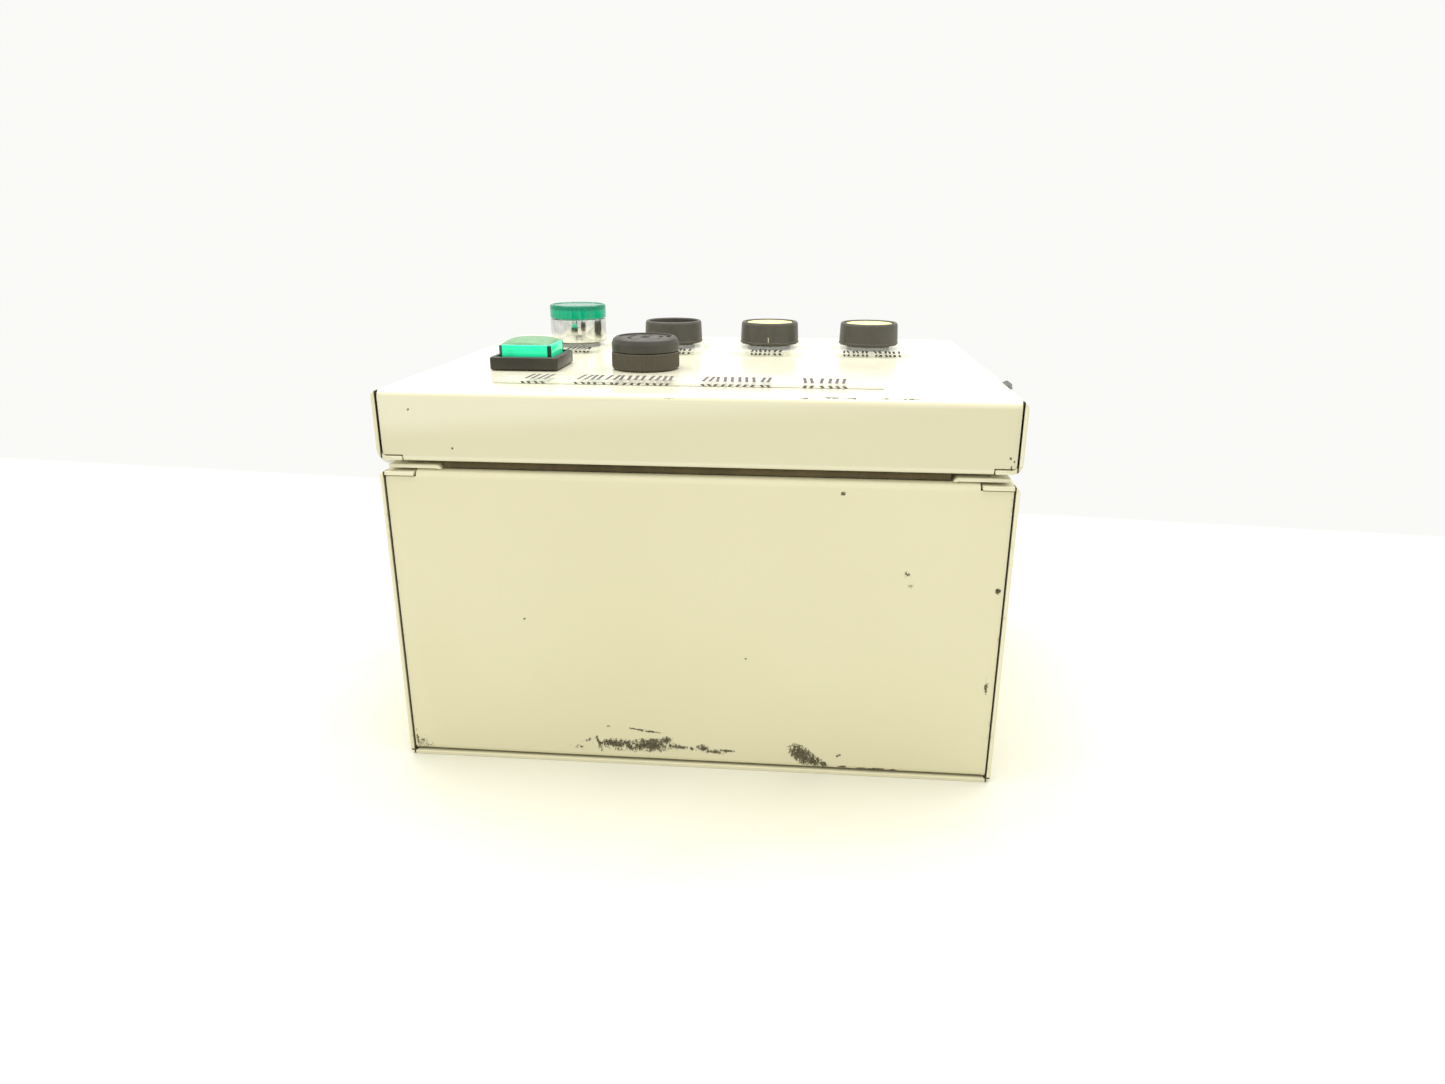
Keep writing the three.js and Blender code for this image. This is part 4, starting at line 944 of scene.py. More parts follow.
# ---------------------------------------------------------------------------
# operators
# ---------------------------------------------------------------------------
def screw_head(p, x, y, z, r, mat, slot_mat=None, cross=True, turn=0.4):
    """Pan-head screw with a cross recess, axis up."""
    prof = fillet([(0, z - 1.2), (r, z - 1.2), (r, z - 0.35), (r * 0.55, z), (0, z)], [0, 0, r * 0.25, 0.3, 0], 4)
    head = g_lathe(prof, seg=28)
    m = Matrix.Rotation(turn, 4, 'Z')
    cuts = [('DIFFERENCE', g_move(g_box(-r * 0.8, r * 0.8, -r * 0.11, r * 0.11, z - 0.6, z + 1, 0), m))]
    if cross:
        cuts.append(('DIFFERENCE', g_move(g_box(-r * 0.11, r * 0.11, -r * 0.8, r * 0.8, z - 0.6, z + 1, 0), m)))
    p.add(g_shift(boolean(head, cuts), x, y), mat)


def pilot():
    x, y = FAR[0]
    base = lo("legend_plate_1").z + 1.8 + 0.3
    top = 174.0
    prof = fillet([(0, base), (14.6, base), (14.6, top - 0.2), (14.3, top), (12.6, top), (12.4, top - 0.6), (0, top - 0.6)],
                  [0, 0.35, 0.15, 0.2, 0.1, 0.1, 0], 4)
    p = Piece("pilot_bezel").add(g_lathe(prof, x, y, 128), M['chrome'])
    rear = fillet([(0, 116), (11.8, 116), (11.8, 150), (13.6, 150), (13.6, 158.1), (10.8, 158.1), (10.8, base + 0.05), (0, base + 0.05)], [0, 0.8, 0.5, 0.6, 0.5, 0, 0, 0], 3)
    p.add(g_lathe(rear, x, y, 72), M['phenolic'])
    for k in range(16):
        a = 2 * math.pi * k / 16
        g = g_box(13.3, 14.1, -1.0, 1.0, 151, 157.6, 0.2)
        p.add(g_move(g, Matrix.Translation((x, y, 0)) @ Matrix.Rotation(a, 4, 'Z')), M['phenolic'])
    for s in (-1, 1):
        p.add(g_box(x - 3, x + 3, y + s * 6 - 2.6, y + s * 6 + 2.6, 116.0, 119.4, 0.4), M['phenolic'])
    p.build("door", "pilot_housing", "chrome", sharp=34)
    # lens: shell with a raised rim and a ribbed inner face
    z0, z1 = lo("pilot_lens").z, hi("pilot_lens").z
    shell = fillet([(0, z0), (14.2, z0), (14.6, z0 + 0.5), (14.6, z1 - 0.7), (14.1, z1 - 0.1), (13.3, z1 - 0.05), (12.9, z1 - 0.45), (0, z1 - 0.30)], [0, 0.2, 0.2, 0.5, 0.3, 0.3, 0.2, 0], 4)
    lensp = Piece("pilot_lens_shell").add(g_lathe(shell, x, y, 128), M['green_round'])
    lensp.build("door", "pilot_lens", "green_lens", sharp=40)
    inner = Piece("pilot_lens_core")
    prof = [(0, z0 + 0.8)]
    for k in range(1, 11):
        r = 12.0 * k / 10
        prof += [(r - 0.5, z0 + 0.8), (r - 0.25, z0 + 1.3), (r, z0 + 0.8)]
    prof += [(12.2, z0 + 0.7), (0, z0 + 0.5)]
    inner.add(g_lathe(prof, x, y, 72), M['diffuser'])
    ob = inner.build("door", (), "green_lens", sharp=60)


pilot()


def legend(i):
    node = "legend_plate_%d" % (i + 1)
    a, b = lo(node), hi(node)
    x, y = FAR[i]
    out = fillet([(a.x, a.y), (b.x, a.y), (b.x, b.y), (a.x, b.y)], 3.0, 8, True)
    rings = []
    for inset, z in ((0.35, a.z), (0.08, a.z + 0.08), (0, a.z + 0.35), (0, b.z - 0.35), (0.08, b.z - 0.08), (0.35, b.z)):
        o = fillet([(a.x + inset, a.y + inset), (b.x - inset, a.y + inset), (b.x - inset, b.y - inset), (a.x + inset, b.y - inset)], 3.0 - inset, 8, True)
        rings.append([(px, py, z) for px, py in o])
    hole = g_shift(g_lathe([(0, a.z - 1), (HOLE_R, a.z - 1), (HOLE_R, b.z + 1), (0, b.z + 1)], seg=64), x, y)
    p = Piece("legend_%d" % (i + 1)).add(boolean(g_loft(rings), [('DIFFERENCE', hole)]), M['clear'])
    # plain slanted bars in place of lettering, printed on the face, and a second copy on the front edge as a painted
    # reflection of them
    rnd = random.Random(11 + i)
    groups = [[(2.0, 15.5)], [(-13, -2.5), (1.5, 13)], [(-7.6, 7.6)], [(-14, -2.5), (1.5, 14.5)]][i]
    for g0, g1 in groups:
        cx = g0
        while cx < g1 - 0.6:
            w = rnd.uniform(0.85, 1.25)
            sk = rnd.uniform(-1.1, 1.1)
            y0, y1 = a.y + 1.4, a.y + rnd.uniform(9.5, 11.5)
            o = [(x + cx, y0), (x + cx + w, y0), (x + cx + w + sk, y1), (x + cx + sk, y1)]
            p.add(g_prism(o, 'Z', b.z - 0.02, b.z + 0.03), M['ink'])
            # painted reflection: the same bar drawn on the front edge, standing in for its doubled image in the clear
            # plate
            o = [(x + cx, b.z - 0.4), (x + cx + w, b.z - 0.4), (x + cx + w + sk * 0.6, a.z + 0.45), (x + cx + sk * 0.6, a.z + 0.45)]
            p.add(g_prism(o, 'Y', a.y - 0.03, a.y + 0.02), M['ink'])
            cx += w + rnd.uniform(0.95, 1.45)
    # painted shade: a dark line along the plate's front edge, standing in for how the clear edge looks
    p.add(g_box(x - 11, x + 10.5, a.y + 0.15, a.y + 0.6, b.z - 0.06, b.z - 0.01, 0), M['edge_line'])
    p.build("door", node, "clear_acrylic", sharp=34)


for i in range(4):
    legend(i)


def label():
    a, b = lo("label_plate"), hi("label_plate")
    rings = []
    for inset, z in ((0.3, a.z), (0.0, a.z + 0.25), (0.0, b.z - 0.25), (0.25, b.z)):
        o = fillet([(a.x + inset, a.y + inset), (b.x - inset, a.y + inset), (b.x - inset, b.y - inset), (a.x + inset, b.y - inset)], 0.8, 4, True)
        rings.append([(px, py, z) for px, py in o])
    p = Piece("name_strip").add(g_loft(rings), M['clear'])
    rnd = random.Random(5)
    for g0, g1, count in ((-71.3, -60.7, 2), (-49.8, -8.6, 7), (1.4, 30.8, 5), (42.5, 60.6, 3)):
        step = (g1 - g0) / count
        for q in range(count):
            cx = g0 + step * q
            w = step * rnd.uniform(0.62, 0.76)
            skew = rnd.uniform(-1.1, 1.1)
            y0, y1 = a.y + 5.2, a.y + 17.6
            th = 1.25
            # one plain slanted stroke pair per place, printed on the face, and again on the front edge as a painted
            # reflection of the strokes
            for dx in (0.0, w - th):
                o = [(cx + dx, y0), (cx + dx + th, y0), (cx + dx + th + skew, y1), (cx + dx + skew, y1)]
                p.add(g_prism(o, 'Z', b.z - 0.02, b.z + 0.03), M['ink_soft'])
                # painted reflection: the same stroke drawn on the front edge, standing in for its doubled image in the
                # clear strip
                o = [(cx + dx, b.z - 0.22), (cx + dx + th, b.z - 0.22), (cx + dx + th + skew, a.z + 0.2), (cx + dx + skew, a.z + 0.2)]
                p.add(g_prism(o, 'Y', a.y - 0.03, a.y + 0.02), M['ink_soft'])
    # painted shade: a dark line where the strip's front edge meets the door
    p.add(g_box(a.x + 0.6, b.x - 0.6, a.y - 0.03, a.y + 0.05, a.z, a.z + 0.18, 0), M['edge_line'])
    p.build("door", "label_plate", "clear_acrylic", sharp=34)


label()


def button(k):
    x, y = FAR[k]
    g = "button_guard_%d" % k
    seat = lo("legend_plate_%d" % (k + 1)).z + 1.8 + 0.3
    top = hi(g).z
    prof = [(8.2, 148), (10.8, 148), (10.8, seat + 0.02), (14.6, seat), (15.2, seat + 0.5), (15.2, seat + 1.2), (15.05, seat + 1.35), (14.65, top - 1.1), (14.25, top - 0.25), (13.9, top), (13.2, top), (12.85, top - 0.5), (12.8, 163.6), (8.2, 163.6)]
    rad = [0, 0.3, 0.2, 0.2, 0.4, 0.1, 0.1, 0.5, 0.2, 0.15, 0.2, 0.2, 0.3, 0.2]
    ring = fillet(prof, rad, 4, True)
    p = Piece("guard_ring_%d" % k).add(g_lathe(ring, x, y, 128, closed=True), M['guard'])
    if k == 2:
        p.add(g_box(x - 0.22, x + 0.22, y - 15.25, y - 14.6, seat + 1.6, seat + 4.0, 0.08), M['beige'])
    p.build("door", g, "operator_black", sharp=36)
    # cap
    c = "button_cap_%d" % k
    ct = hi(c).z
    under = 167.0 if k == 1 else 169.2
    prof = fillet([(0, 152.8), (7.7, 152.8), (7.7, under), (12.35, under), (12.4, under + 0.4), (12.4, ct - 0.75), (11.6, ct), (10.4, ct), (6, ct - 0.22), (0, ct - 0.30)], [0, 0.5, 0.5, 0.2, 0.1, 0.5, 0.6, 0.6, 2, 0], 5)
    Piece("cap_%d" % k).add(g_lathe(prof, x, y, 128), M['operator_matt'] if k == 1 else M['ivory']).build("cap_%d" % k, c, "operator_black" if k == 1 else "ivory_plastic", sharp=36)
    # contact block
    n = "contact_block_%d" % k
    a, b = lo(n), hi(n)
    p = Piece("contacts_%d" % k)
    col = fillet([(11.2, 146.0), (14.4, 146.0), (14.4, b.z), (11.2, b.z)], 0.4, 3, True)
    p.add(g_lathe(col, x, y, 72, closed=True), M['phenolic'])
    p.add(g_box(x - 13, x + 13, y - 17, y + 17, 134, 146.9, 0.8, 3), M['phenolic'])
    for s in (-1, 1):
        p.add(g_box(x - 12.6 if s < 0 else x + 0.3, x - 0.3 if s < 0 else x + 12.6, y - 16.4, y + 16.4, 108.4, 133.8, 0.7, 3), M['beige'] if s < 0 else M['phenolic'])
        for t in (-1, 1):
            cx = x + s * 6.4
            p.add(g_box(cx - 3.6, cx + 3.6, y + t * 11 - 3.4, y + t * 11 + 3.4, 108.0, 110.2, 0.3), M['brass'])
            head = g_move(g_lathe(fillet([(0, 0), (2.6, 0), (2.6, 1.0), (0, 1.3)], [0, 0, 0.3, 0], 3), seg=24), Matrix.Translation((cx, y + t * 11, 108.9)) @ Matrix.Rotation(math.pi, 4, 'X'))
            p.add(head, M['screw'])
    p.build("door", n, "moulded_black", sharp=34)


for k in (1, 2, 3):
    button(k)


def square():
    x, y = SQ
    h = 15.2
    z0, z1 = lo("square_bezel").z, hi("square_bezel").z
    z0 = 160.3
    rings = []
    for inset, z, r in ((0.5, z0, 1.4), (0.0, z0 + 0.5, 1.7), (0.0, z1 - 0.9, 1.7), (0.25, z1 - 0.3, 1.6), (0.75, z1, 1.3)):
        o = fillet([(x - h + inset, y - h + inset), (x + h - inset, y - h + inset), (x + h - inset, y + h - inset), (x - h + inset, y + h - inset)], r, 6, True)
        rings.append([(a, b, z) for a, b in o])
    pocket = g_box(x - 12.1, x + 12.1, y - 12.1, y + 12.1, 161.6, z1 + 2, 0)
    step = g_box(x - 12.9, x + 12.9, y - 12.9, y + 12.9, z1 - 0.6, z1 + 2, 0)
    body = boolean(g_loft(rings), [('DIFFERENCE', pocket), ('DIFFERENCE', step)])
    p = Piece("square_bezel_body").add(body, M['bezel'])
    neck = g_lathe(fillet([(0, 151.5), (13.2, 151.5), (13.2, 158.1), (10.8, 158.1), (10.8, 160.8), (0, 160.8)], [0, 0.5, 0.4, 0, 0, 0], 3), x, y, 72)
    p.add(neck, M['phenolic'])
    p.add(g_box(x - 11.8, x + 11.8, y - 11.8, y + 11.8, 114.4, 151.7, 0.8, 3), M['phenolic'])
    for sx in (-1, 1):
        for sy in (-1, 1):
            p.add(g_box(x + sx * 6 - 1.4, x + sx * 6 + 1.4, y + sy * 6 - 0.4, y + sy * 6 + 0.4, 114.0, 116, 0.1), M['brass'])
    p.build("door", "square_bezel", "operator_black", sharp=34)
    # lens: skirt with dark corner chamfers, rebated shoulder and a softly domed top
    s = 11.75
    lz0, lz1 = lo("square_lens").z, hi("square_lens").z
    wall_top = 170.6
    body_rings = []
    def sq_outline(hh, c, z, n=5):
        o = fillet([(x - hh, y - hh), (x + hh, y - hh), (x + hh, y + hh), (x - hh, y + hh)], c, n, True)
        return [(a, b, z) for a, b in o]
    for hh, c, z in ((s - 0.2, 2.5, lz0), (s, 2.6, lz0 + 0.3), (s, 2.6, wall_top - 0.4), (s - 0.15, 2.6, wall_top - 0.05), (s - 0.6, 2.4, wall_top + 0.25)):
        body_rings.append(sq_outline(hh, c, z))
    lp = Piece("square_lens_body").add(g_loft(body_rings), M['green_square'])
    # domed top as a fine grid
    n = 40
    verts, faces = [], []
    hh = s - 0.75
    for j in range(n + 1):
        for i in range(n + 1):
            u, w = 2 * i / n - 1, 2 * j / n - 1
            px, py = x + u * hh, y + w * hh
            f = (1 - abs(u) ** 2.6) * (1 - abs(w) ** 2.6)
            e = max(abs(u), abs(w))
            zz = wall_top + 0.15 + (lz1 - wall_top - 0.25) * (f ** 0.55) * 0.96
            verts.append((px, py, min(zz, lz1 - 0.05)))
    base = len(verts)
    for j in range(n + 1):
        for i in range(n + 1):
            u, w = 2 * i / n - 1, 2 * j / n - 1
            verts.append((x + u * hh, y + w * hh, wall_top - 0.8))
    idx = lambda i, j, o=0: o + j * (n + 1) + i
    for j in range(n):
        for i in range(n):
            faces.append((idx(i, j), idx(i + 1, j), idx(i + 1, j + 1), idx(i, j + 1)))
            faces.append((idx(i, j, base), idx(i, j + 1, base), idx(i + 1, j + 1, base), idx(i + 1, j, base)))
    for i in range(n):
        faces.append((idx(i, 0, base), idx(i + 1, 0, base), idx(i + 1, 0), idx(i, 0)))
        faces.append((idx(i + 1, n, base), idx(i, n, base), idx(i, n), idx(i + 1, n)))
        faces.append((idx(0, i + 1, base), idx(0, i, base), idx(0, i), idx(0, i + 1)))
        faces.append((idx(n, i, base), idx(n, i + 1, base), idx(n, i + 1), idx(n, i)))
    lp.add((verts, faces), M['green_top'])
    for sx in (-1, 1):
        for sy in (-1, 1):
            g = g_box(14.2, 15.62, -0.95, 0.95, lz0 + 0.1, wall_top - 0.1, 0)
            lp.add(g_move(g, Matrix.Translation((x, y, 0)) @ Matrix.Rotation(math.atan2(sy, sx), 4, 'Z')), M['green_dark'])
    lp.build("lens_button", "square_lens", "green_lens", sharp=34)


square()


def buzzer():
    x, y = BZ
    z0, z1 = 160.3, hi("buzzer_base").z
    # ribbed base
    n = 72
    seg = n * 4
    verts, faces = [], []
    levels = [(z0, 14.35, 0), (z0 + 0.35, 14.75, 0), (z0 + 0.9, 14.95, 0.0), (z0 + 1.3, 15.05, 1), (z1 - 0.9, 15.05, 1), (z1 - 0.5, 15.0, 0), (z1 - 0.1, 14.8, 0), (z1, 14.5, 0)]
    for z, r, rib in levels:
        for k in range(seg):
            a = 2 * math.pi * k / seg
            depth = (0, 0.16, 0.34, 0.16)[k % 4] * rib
            verts.append((x + (r - depth) * math.cos(a), y + (r - depth) * math.sin(a), z))
    for i in range(len(levels) - 1):
        for k in range(seg):
            k2 = (k + 1) % seg
            faces.append((i * seg + k, i * seg + k2, (i + 1) * seg + k2, (i + 1) * seg + k))
    faces.append(tuple(range(seg - 1, -1, -1)))
    faces.append(tuple(range((len(levels) - 1) * seg, len(levels) * seg)))
    p = Piece("buzzer_ribbed_base").add((verts, faces), M['operator_matt'])
    rear = fillet([(0, 130), (12.6, 130), (12.6, 151), (13.6, 151), (13.6, 158.1), (10.8, 158.1), (10.8, z0 + 0.1), (0, z0 + 0.1)], [0, 0.8, 0.4, 0.5, 0.4, 0, 0, 0], 3)
    p.add(g_lathe(rear, x, y, 72), M['phenolic'])
    p.build("door", "buzzer_base", "operator_black", sharp=30)
    # cover: rounded shoulder, recessed grille disc with a centre hole and sound slots
    c0, c1 = lo("buzzer_cover").z, hi("buzzer_cover").z
    prof = fillet([(0, c0), (14.7, c0), (14.9, c0 + 0.3), (14.9, c1 - 3.0), (14.2, c1 - 1.1), (13.0, c1 - 0.2), (12.2, c1), (11.85, c1 - 0.1), (11.7, c1 - 0.75), (0, c1 - 0.62)], [0, 0.1, 0.2, 1.2, 1.4, 0.6, 0.2, 0.1, 0.15, 0], 6)
    cover = g_lathe(prof, x, y, 144)
    ops = [('DIFFERENCE', g_shift(g_lathe([(0, c1 - 2.6), (2.3, c1 - 2.6), (2.3, c1 + 1), (0, c1 + 1)], seg=40), x, y))]
    for q in range(6):
        a0 = math.radians(60 * q + 12)
        a1 = math.radians(60 * q + 46)
        o = []
        r0, r1 = 6.6, 8.3
        for t in range(9):
            a = a0 + (a1 - a0) * t / 8
            o.append((x + r1 * math.cos(a), y + r1 * math.sin(a)))
        for t in range(8, -1, -1):
            a = a0 + (a1 - a0) * t / 8
            o.append((x + r0 * math.cos(a), y + r0 * math.sin(a)))
        ops.append(('DIFFERENCE', g_prism(o, 'Z', c1 - 2.4, c1 + 1)))
    # key notch at the right of the grille disc
    nx, ny = x + 10.6 * math.cos(0.35), y + 10.6 * math.sin(0.35)
    notch = g_move(g_box(-1.0, 1.0, -2.1, 2.1, c1 - 1.9, c1 + 1, 0), Matrix.Translation((nx, ny, 0)) @ Matrix.Rotation(0.35, 4, 'Z'))
    ops.append(('DIFFERENCE', notch))
    cover = boolean(cover, ops)
    Piece("buzzer_grille").add(cover, M['operator']).build("door", "buzzer_cover", "operator_black", sharp=32)


buzzer()


# ---------------------------------------------------------------------------
# hinges and latch
# ---------------------------------------------------------------------------
def hinges():
    hx, hz, R, r = -129.5, 130.2, 4.0, 2.3
    for i in (1, 2):
        yc = (lo("hinge_leaf_body_%d" % i).y + hi("hinge_leaf_body_%d" % i).y) / 2
        h, k = 20.0, 6.8
        x0, x1 = -HW - 0.3 - T, -HW - 0.3

        def knuckle(y0, y1):
            prof = fillet([(r, y0), (R, y0), (R, y1), (r, y1)], [0.1, 0.25, 0.25, 0.1], 3, True)
            g = g_lathe(prof, seg=48, closed=True)
            return g_move(g, Matrix.Translation((hx, 0, hz)) @ Matrix.Rotation(-math.pi / 2, 4, 'X'))

        def leaf(y0, y1, z0, z1, screws):
            g = g_box(x0, x1, y0, y1, z0, z1, 0.25, 2)
            ops = []
            for yy, zz in screws:
                ops.append(('DIFFERENCE', bar_geo(1.9, (x0 - 1, yy, zz), (x1 + 1, yy, zz), 32)))
            return boolean(g, ops) if ops else g
        scr_b = [(yc - 12, hz - 17), (yc + 12, hz - 17)]
        scr_d = [(yc - 12, hz + 15.5), (yc + 12, hz + 15.5)]
        p = Piece("hinge_body_leaf_%d" % i)
        p.add(leaf(yc - h, yc + h, hz - 26, hz - R - 0.4, scr_b), M['steel'])
        for s in (-1, 1):
            a, b = (yc - h, yc - k) if s < 0 else (yc + k, yc + h)
            p.add(g_box(x0, x1, a, b, hz - 6, hz - 0.2, 0.2), M['steel'])
            p.add(knuckle(a, b), M['steel'])
        for yy, zz in scr_b:
            head = g_lathe(fillet([(0, 0), (3.1, 0), (3.1, 0.5), (1.6, 1.4), (0, 1.5)], [0, 0.1, 0.4, 0.4, 0], 3), seg=28)
            head = boolean(head, [('DIFFERENCE', g_box(-2.2, 2.2, -0.35, 0.35, 0.8, 3, 0))])
            p.add(g_move(head, Matrix.Translation((x0 + 0.02, yy, zz)) @ Matrix.Rotation(-math.pi / 2, 4, 'Y') @ Matrix.Rotation(0.6 + yy, 4, 'Z')), M['screw'])
        p.build("enclosure", "hinge_leaf_body_%d" % i, "zinc_steel", sharp=34)
        p = Piece("hinge_door_leaf_%d" % i)
        p.add(leaf(yc - h, yc + h, hz + R + 0.4, hz + 24, scr_d), M['steel'])
        p.add(g_box(x0, x1, yc - k + 0.4, yc + k - 0.4, hz + 0.2, hz + 6, 0.2), M['steel'])
        p.add(knuckle(yc - k + 0.4, yc + k - 0.4), M['steel'])
        for yy, zz in scr_d:
            head = g_lathe(fillet([(0, 0), (3.1, 0), (3.1, 0.5), (1.6, 1.4), (0, 1.5)], [0, 0.1, 0.4, 0.4, 0], 3), seg=28)
            head = boolean(head, [('DIFFERENCE', g_box(-2.2, 2.2, -0.35, 0.35, 0.8, 3, 0))])
            p.add(g_move(head, Matrix.Translation((x0 + 0.02, yy, zz)) @ Matrix.Rotation(-math.pi / 2, 4, 'Y') @ Matrix.Rotation(0.2 + yy, 4, 'Z')), M['screw'])
        p.build("door", "hinge_leaf_door_%d" % i, "zinc_steel", sharp=34)
        pin = fillet([(0, yc - h - 2.4), (2.6, yc - h - 2.4), (3.2, yc - h - 1.9), (3.2, yc - h - 0.6), (2.0, yc - h - 0.6), (2.0, yc + h + 0.8), (1.6, yc + h + 1.2), (0, yc + h + 1.2)], [0, 0.5, 0.2, 0.2, 0.05, 0.1, 0.1, 0], 3)
        g = g_move(g_lathe(pin, seg=40), Matrix.Translation((hx, 0, hz)) @ Matrix.Rotation(-math.pi / 2, 4, 'X'))
        Piece("hinge_pin_round_%d" % i).add(g, M['steel']).build("enclosure", "hinge_pin_%d" % i, "zinc_steel", sharp=40)


hinges()


def latch():
    px, pz, qx, qz = 133.0, 140.0, 129.6, 146.0
    xw = HW + 0.3
    p = Piece("latch_base_plate")
    p.add(g_box(xw, xw + 1.5, -18, 18, 134.6, 156.4, 0.3, 3), M['steel'])
    p.add(g_box(xw, xw + 4, -18, 18, 151.6, 156.4, 1.2, 5), M['paint_rail'])
    for s in (-1, 1):
        ear = fillet([(xw + 1, 138.4), (px, 137.8), (px + 1.5, 138.3), (px + 2.2, 140), (px + 1.5, 141.7), (px, 142.6), (xw + 1, 147)], [0, 0.8, 0.9, 1.2, 0.9, 0.8, 0], 4, True)
        p.add(g_bevel(g_prism(ear, 'Y', 4 if s > 0 else -5.5, 5.5 if s > 0 else -4), 0.15, 2), M['steel'])
    p.add(bar_geo(2.0, (px, -7.7, pz), (px, 7.7, pz), 36, 0.3), M['screw'])
    for yy in (-14.2, 14.2):
        for zz in (138.6, 147.6):
            head = g_lathe(fillet([(0, 0), (2.3, 0), (2.0, 0.8), (0, 1.1)], [0, 0.1, 0.6, 0], 4), seg=28)
            p.add(g_move(head, Matrix.Translation((xw + 1.45, yy, zz)) @ Matrix.Rotation(math.pi / 2, 4, 'Y')), M['screw'])
    p.build("door", "latch_base", "zinc_steel", sharp=34)

    p = Piece("latch_lever_channel")
    t = 1.3
    web = sheet_geo([(px + 3.9, 135.6), (px + 3.9, 148.2), (138.0, 150.4)], t, [4], 1, 'Y', -7.5, 7.5, 8, 0.25, 0.3)
    p.add(web, M['lever'])
    lip = sheet_geo([(px + 3.9, 145.5), (px + 3.9, 148.2), (138.8, 151.1)], t, [4], 1, 'Y', -14, 14, 8, 0.25, 0.3)
    cyl = g_move(g_lathe([(0, 140), (26, 140), (26, 160), (0, 160)], seg=160), Matrix.Translation((138.5 - 26, 0, 0)))
    p.add(g_bevel(boolean(lip, [('INTERSECT', cyl)]), 0.0), M['lever'])
    for s in (-1, 1):
        cheek = fillet([(qx - 2.6, qz - 2.4), (qx - 2.6, qz + 1.6), (qx - 1, qz + 2.8), (px + 3.2, 148.4), (px + 3.2, 136), (px - 0.6, 136.6), (px - 3, 138.6)], [1, 1.5, 1, 1, 0.5, 1.5, 1.5], 3, True)
        g = g_prism(cheek, 'Y', 6 if s > 0 else -7.5, 7.5 if s > 0 else -6)
        g = boolean(g, [('DIFFERENCE', bar_geo(2.3, (px, -9, pz), (px, 9, pz), 40)), ('DIFFERENCE', bar_geo(1.35, (qx, -9, qz), (qx, 9, qz), 28))])
        p.add(g_bevel(g, 0.12, 1), M['lever'])
    p.build("lever", "latch_lever", "zinc_steel", sharp=34)

    tilt, L, r = math.radians(9.6), 30.0, 1.05
    P = lambda d, y: Vector((qx + math.sin(tilt) * d, y, qz - math.cos(tilt) * d))
    pts = [P(0, -5.8), P(0, -8.2), P(0.0, -9.0), P(0.55, -9.55), P(1.6, -9.55), P(L - 1.8, -9.55), P(L - 0.55, -9.1), P(L, -8.0), P(L, 0), P(L, 8.0), P(L - 0.55, 9.1), P(L - 1.8, 9.55), P(1.6, 9.55), P(0.55, 9.55), P(0, 9.0), P(0, 8.2), P(0, 5.8)]
    Piece("latch_bail_wire").add(g_tube(smooth_path(pts, 6), r, 20), M['latch']).build("bail", "latch_bail", "zinc_steel", sharp=50)

    p = Piece("latch_keeper_hook")
    p.add(g_box(xw, xw + 1.5, -12, 12, 101, 120.3, 0.3, 3), M['steel'])
    hook = sheet_geo([(xw + 0.6, 120.3), (xw + 6.2, 120.3), (xw + 6.2, 114.6)], 1.5, [2.0], -1, 'Y', -6.4, 6.4, 8, 0.25, 0.35)
    p.add(hook, M['steel'])
    for yy in (-8, 8):
        head = g_lathe(fillet([(0, 0), (2.4, 0), (2.1, 0.8), (0, 1.1)], [0, 0.1, 0.6, 0], 4), seg=28)
        p.add(g_move(head, Matrix.Translation((xw + 1.45, yy, 106.5)) @ Matrix.Rotation(math.pi / 2, 4, 'Y')), M['screw'])
    p.build("enclosure", "latch_keeper", "zinc_steel", sharp=34)


latch()


# ---------------------------------------------------------------------------
# gear inside
# ---------------------------------------------------------------------------
def hexnut(x, y, z, name, node):
    r, h = 5.0 / math.cos(math.pi / 6), 4.6
    hexa = g_prism([(r * math.cos(math.pi / 3 * k), r * math.sin(math.pi / 3 * k)) for k in range(6)], 'Z', 0, h)
    cone = g_lathe([(0, -0.01), (4.9, -0.01), (5.9, 0.6), (5.9, h - 0.6), (4.9, h + 0.01), (0, h + 0.01)], seg=64)
    body = boolean(hexa, [('INTERSECT', cone), ('DIFFERENCE', g_lathe([(0, -1), (3.3, -1), (3.3, h + 1), (0, h + 1)], seg=32))])
    Piece(name).add(g_shift(body, x, y, z), M['screw']).build("enclosure", node, "zinc_steel", sharp=30)


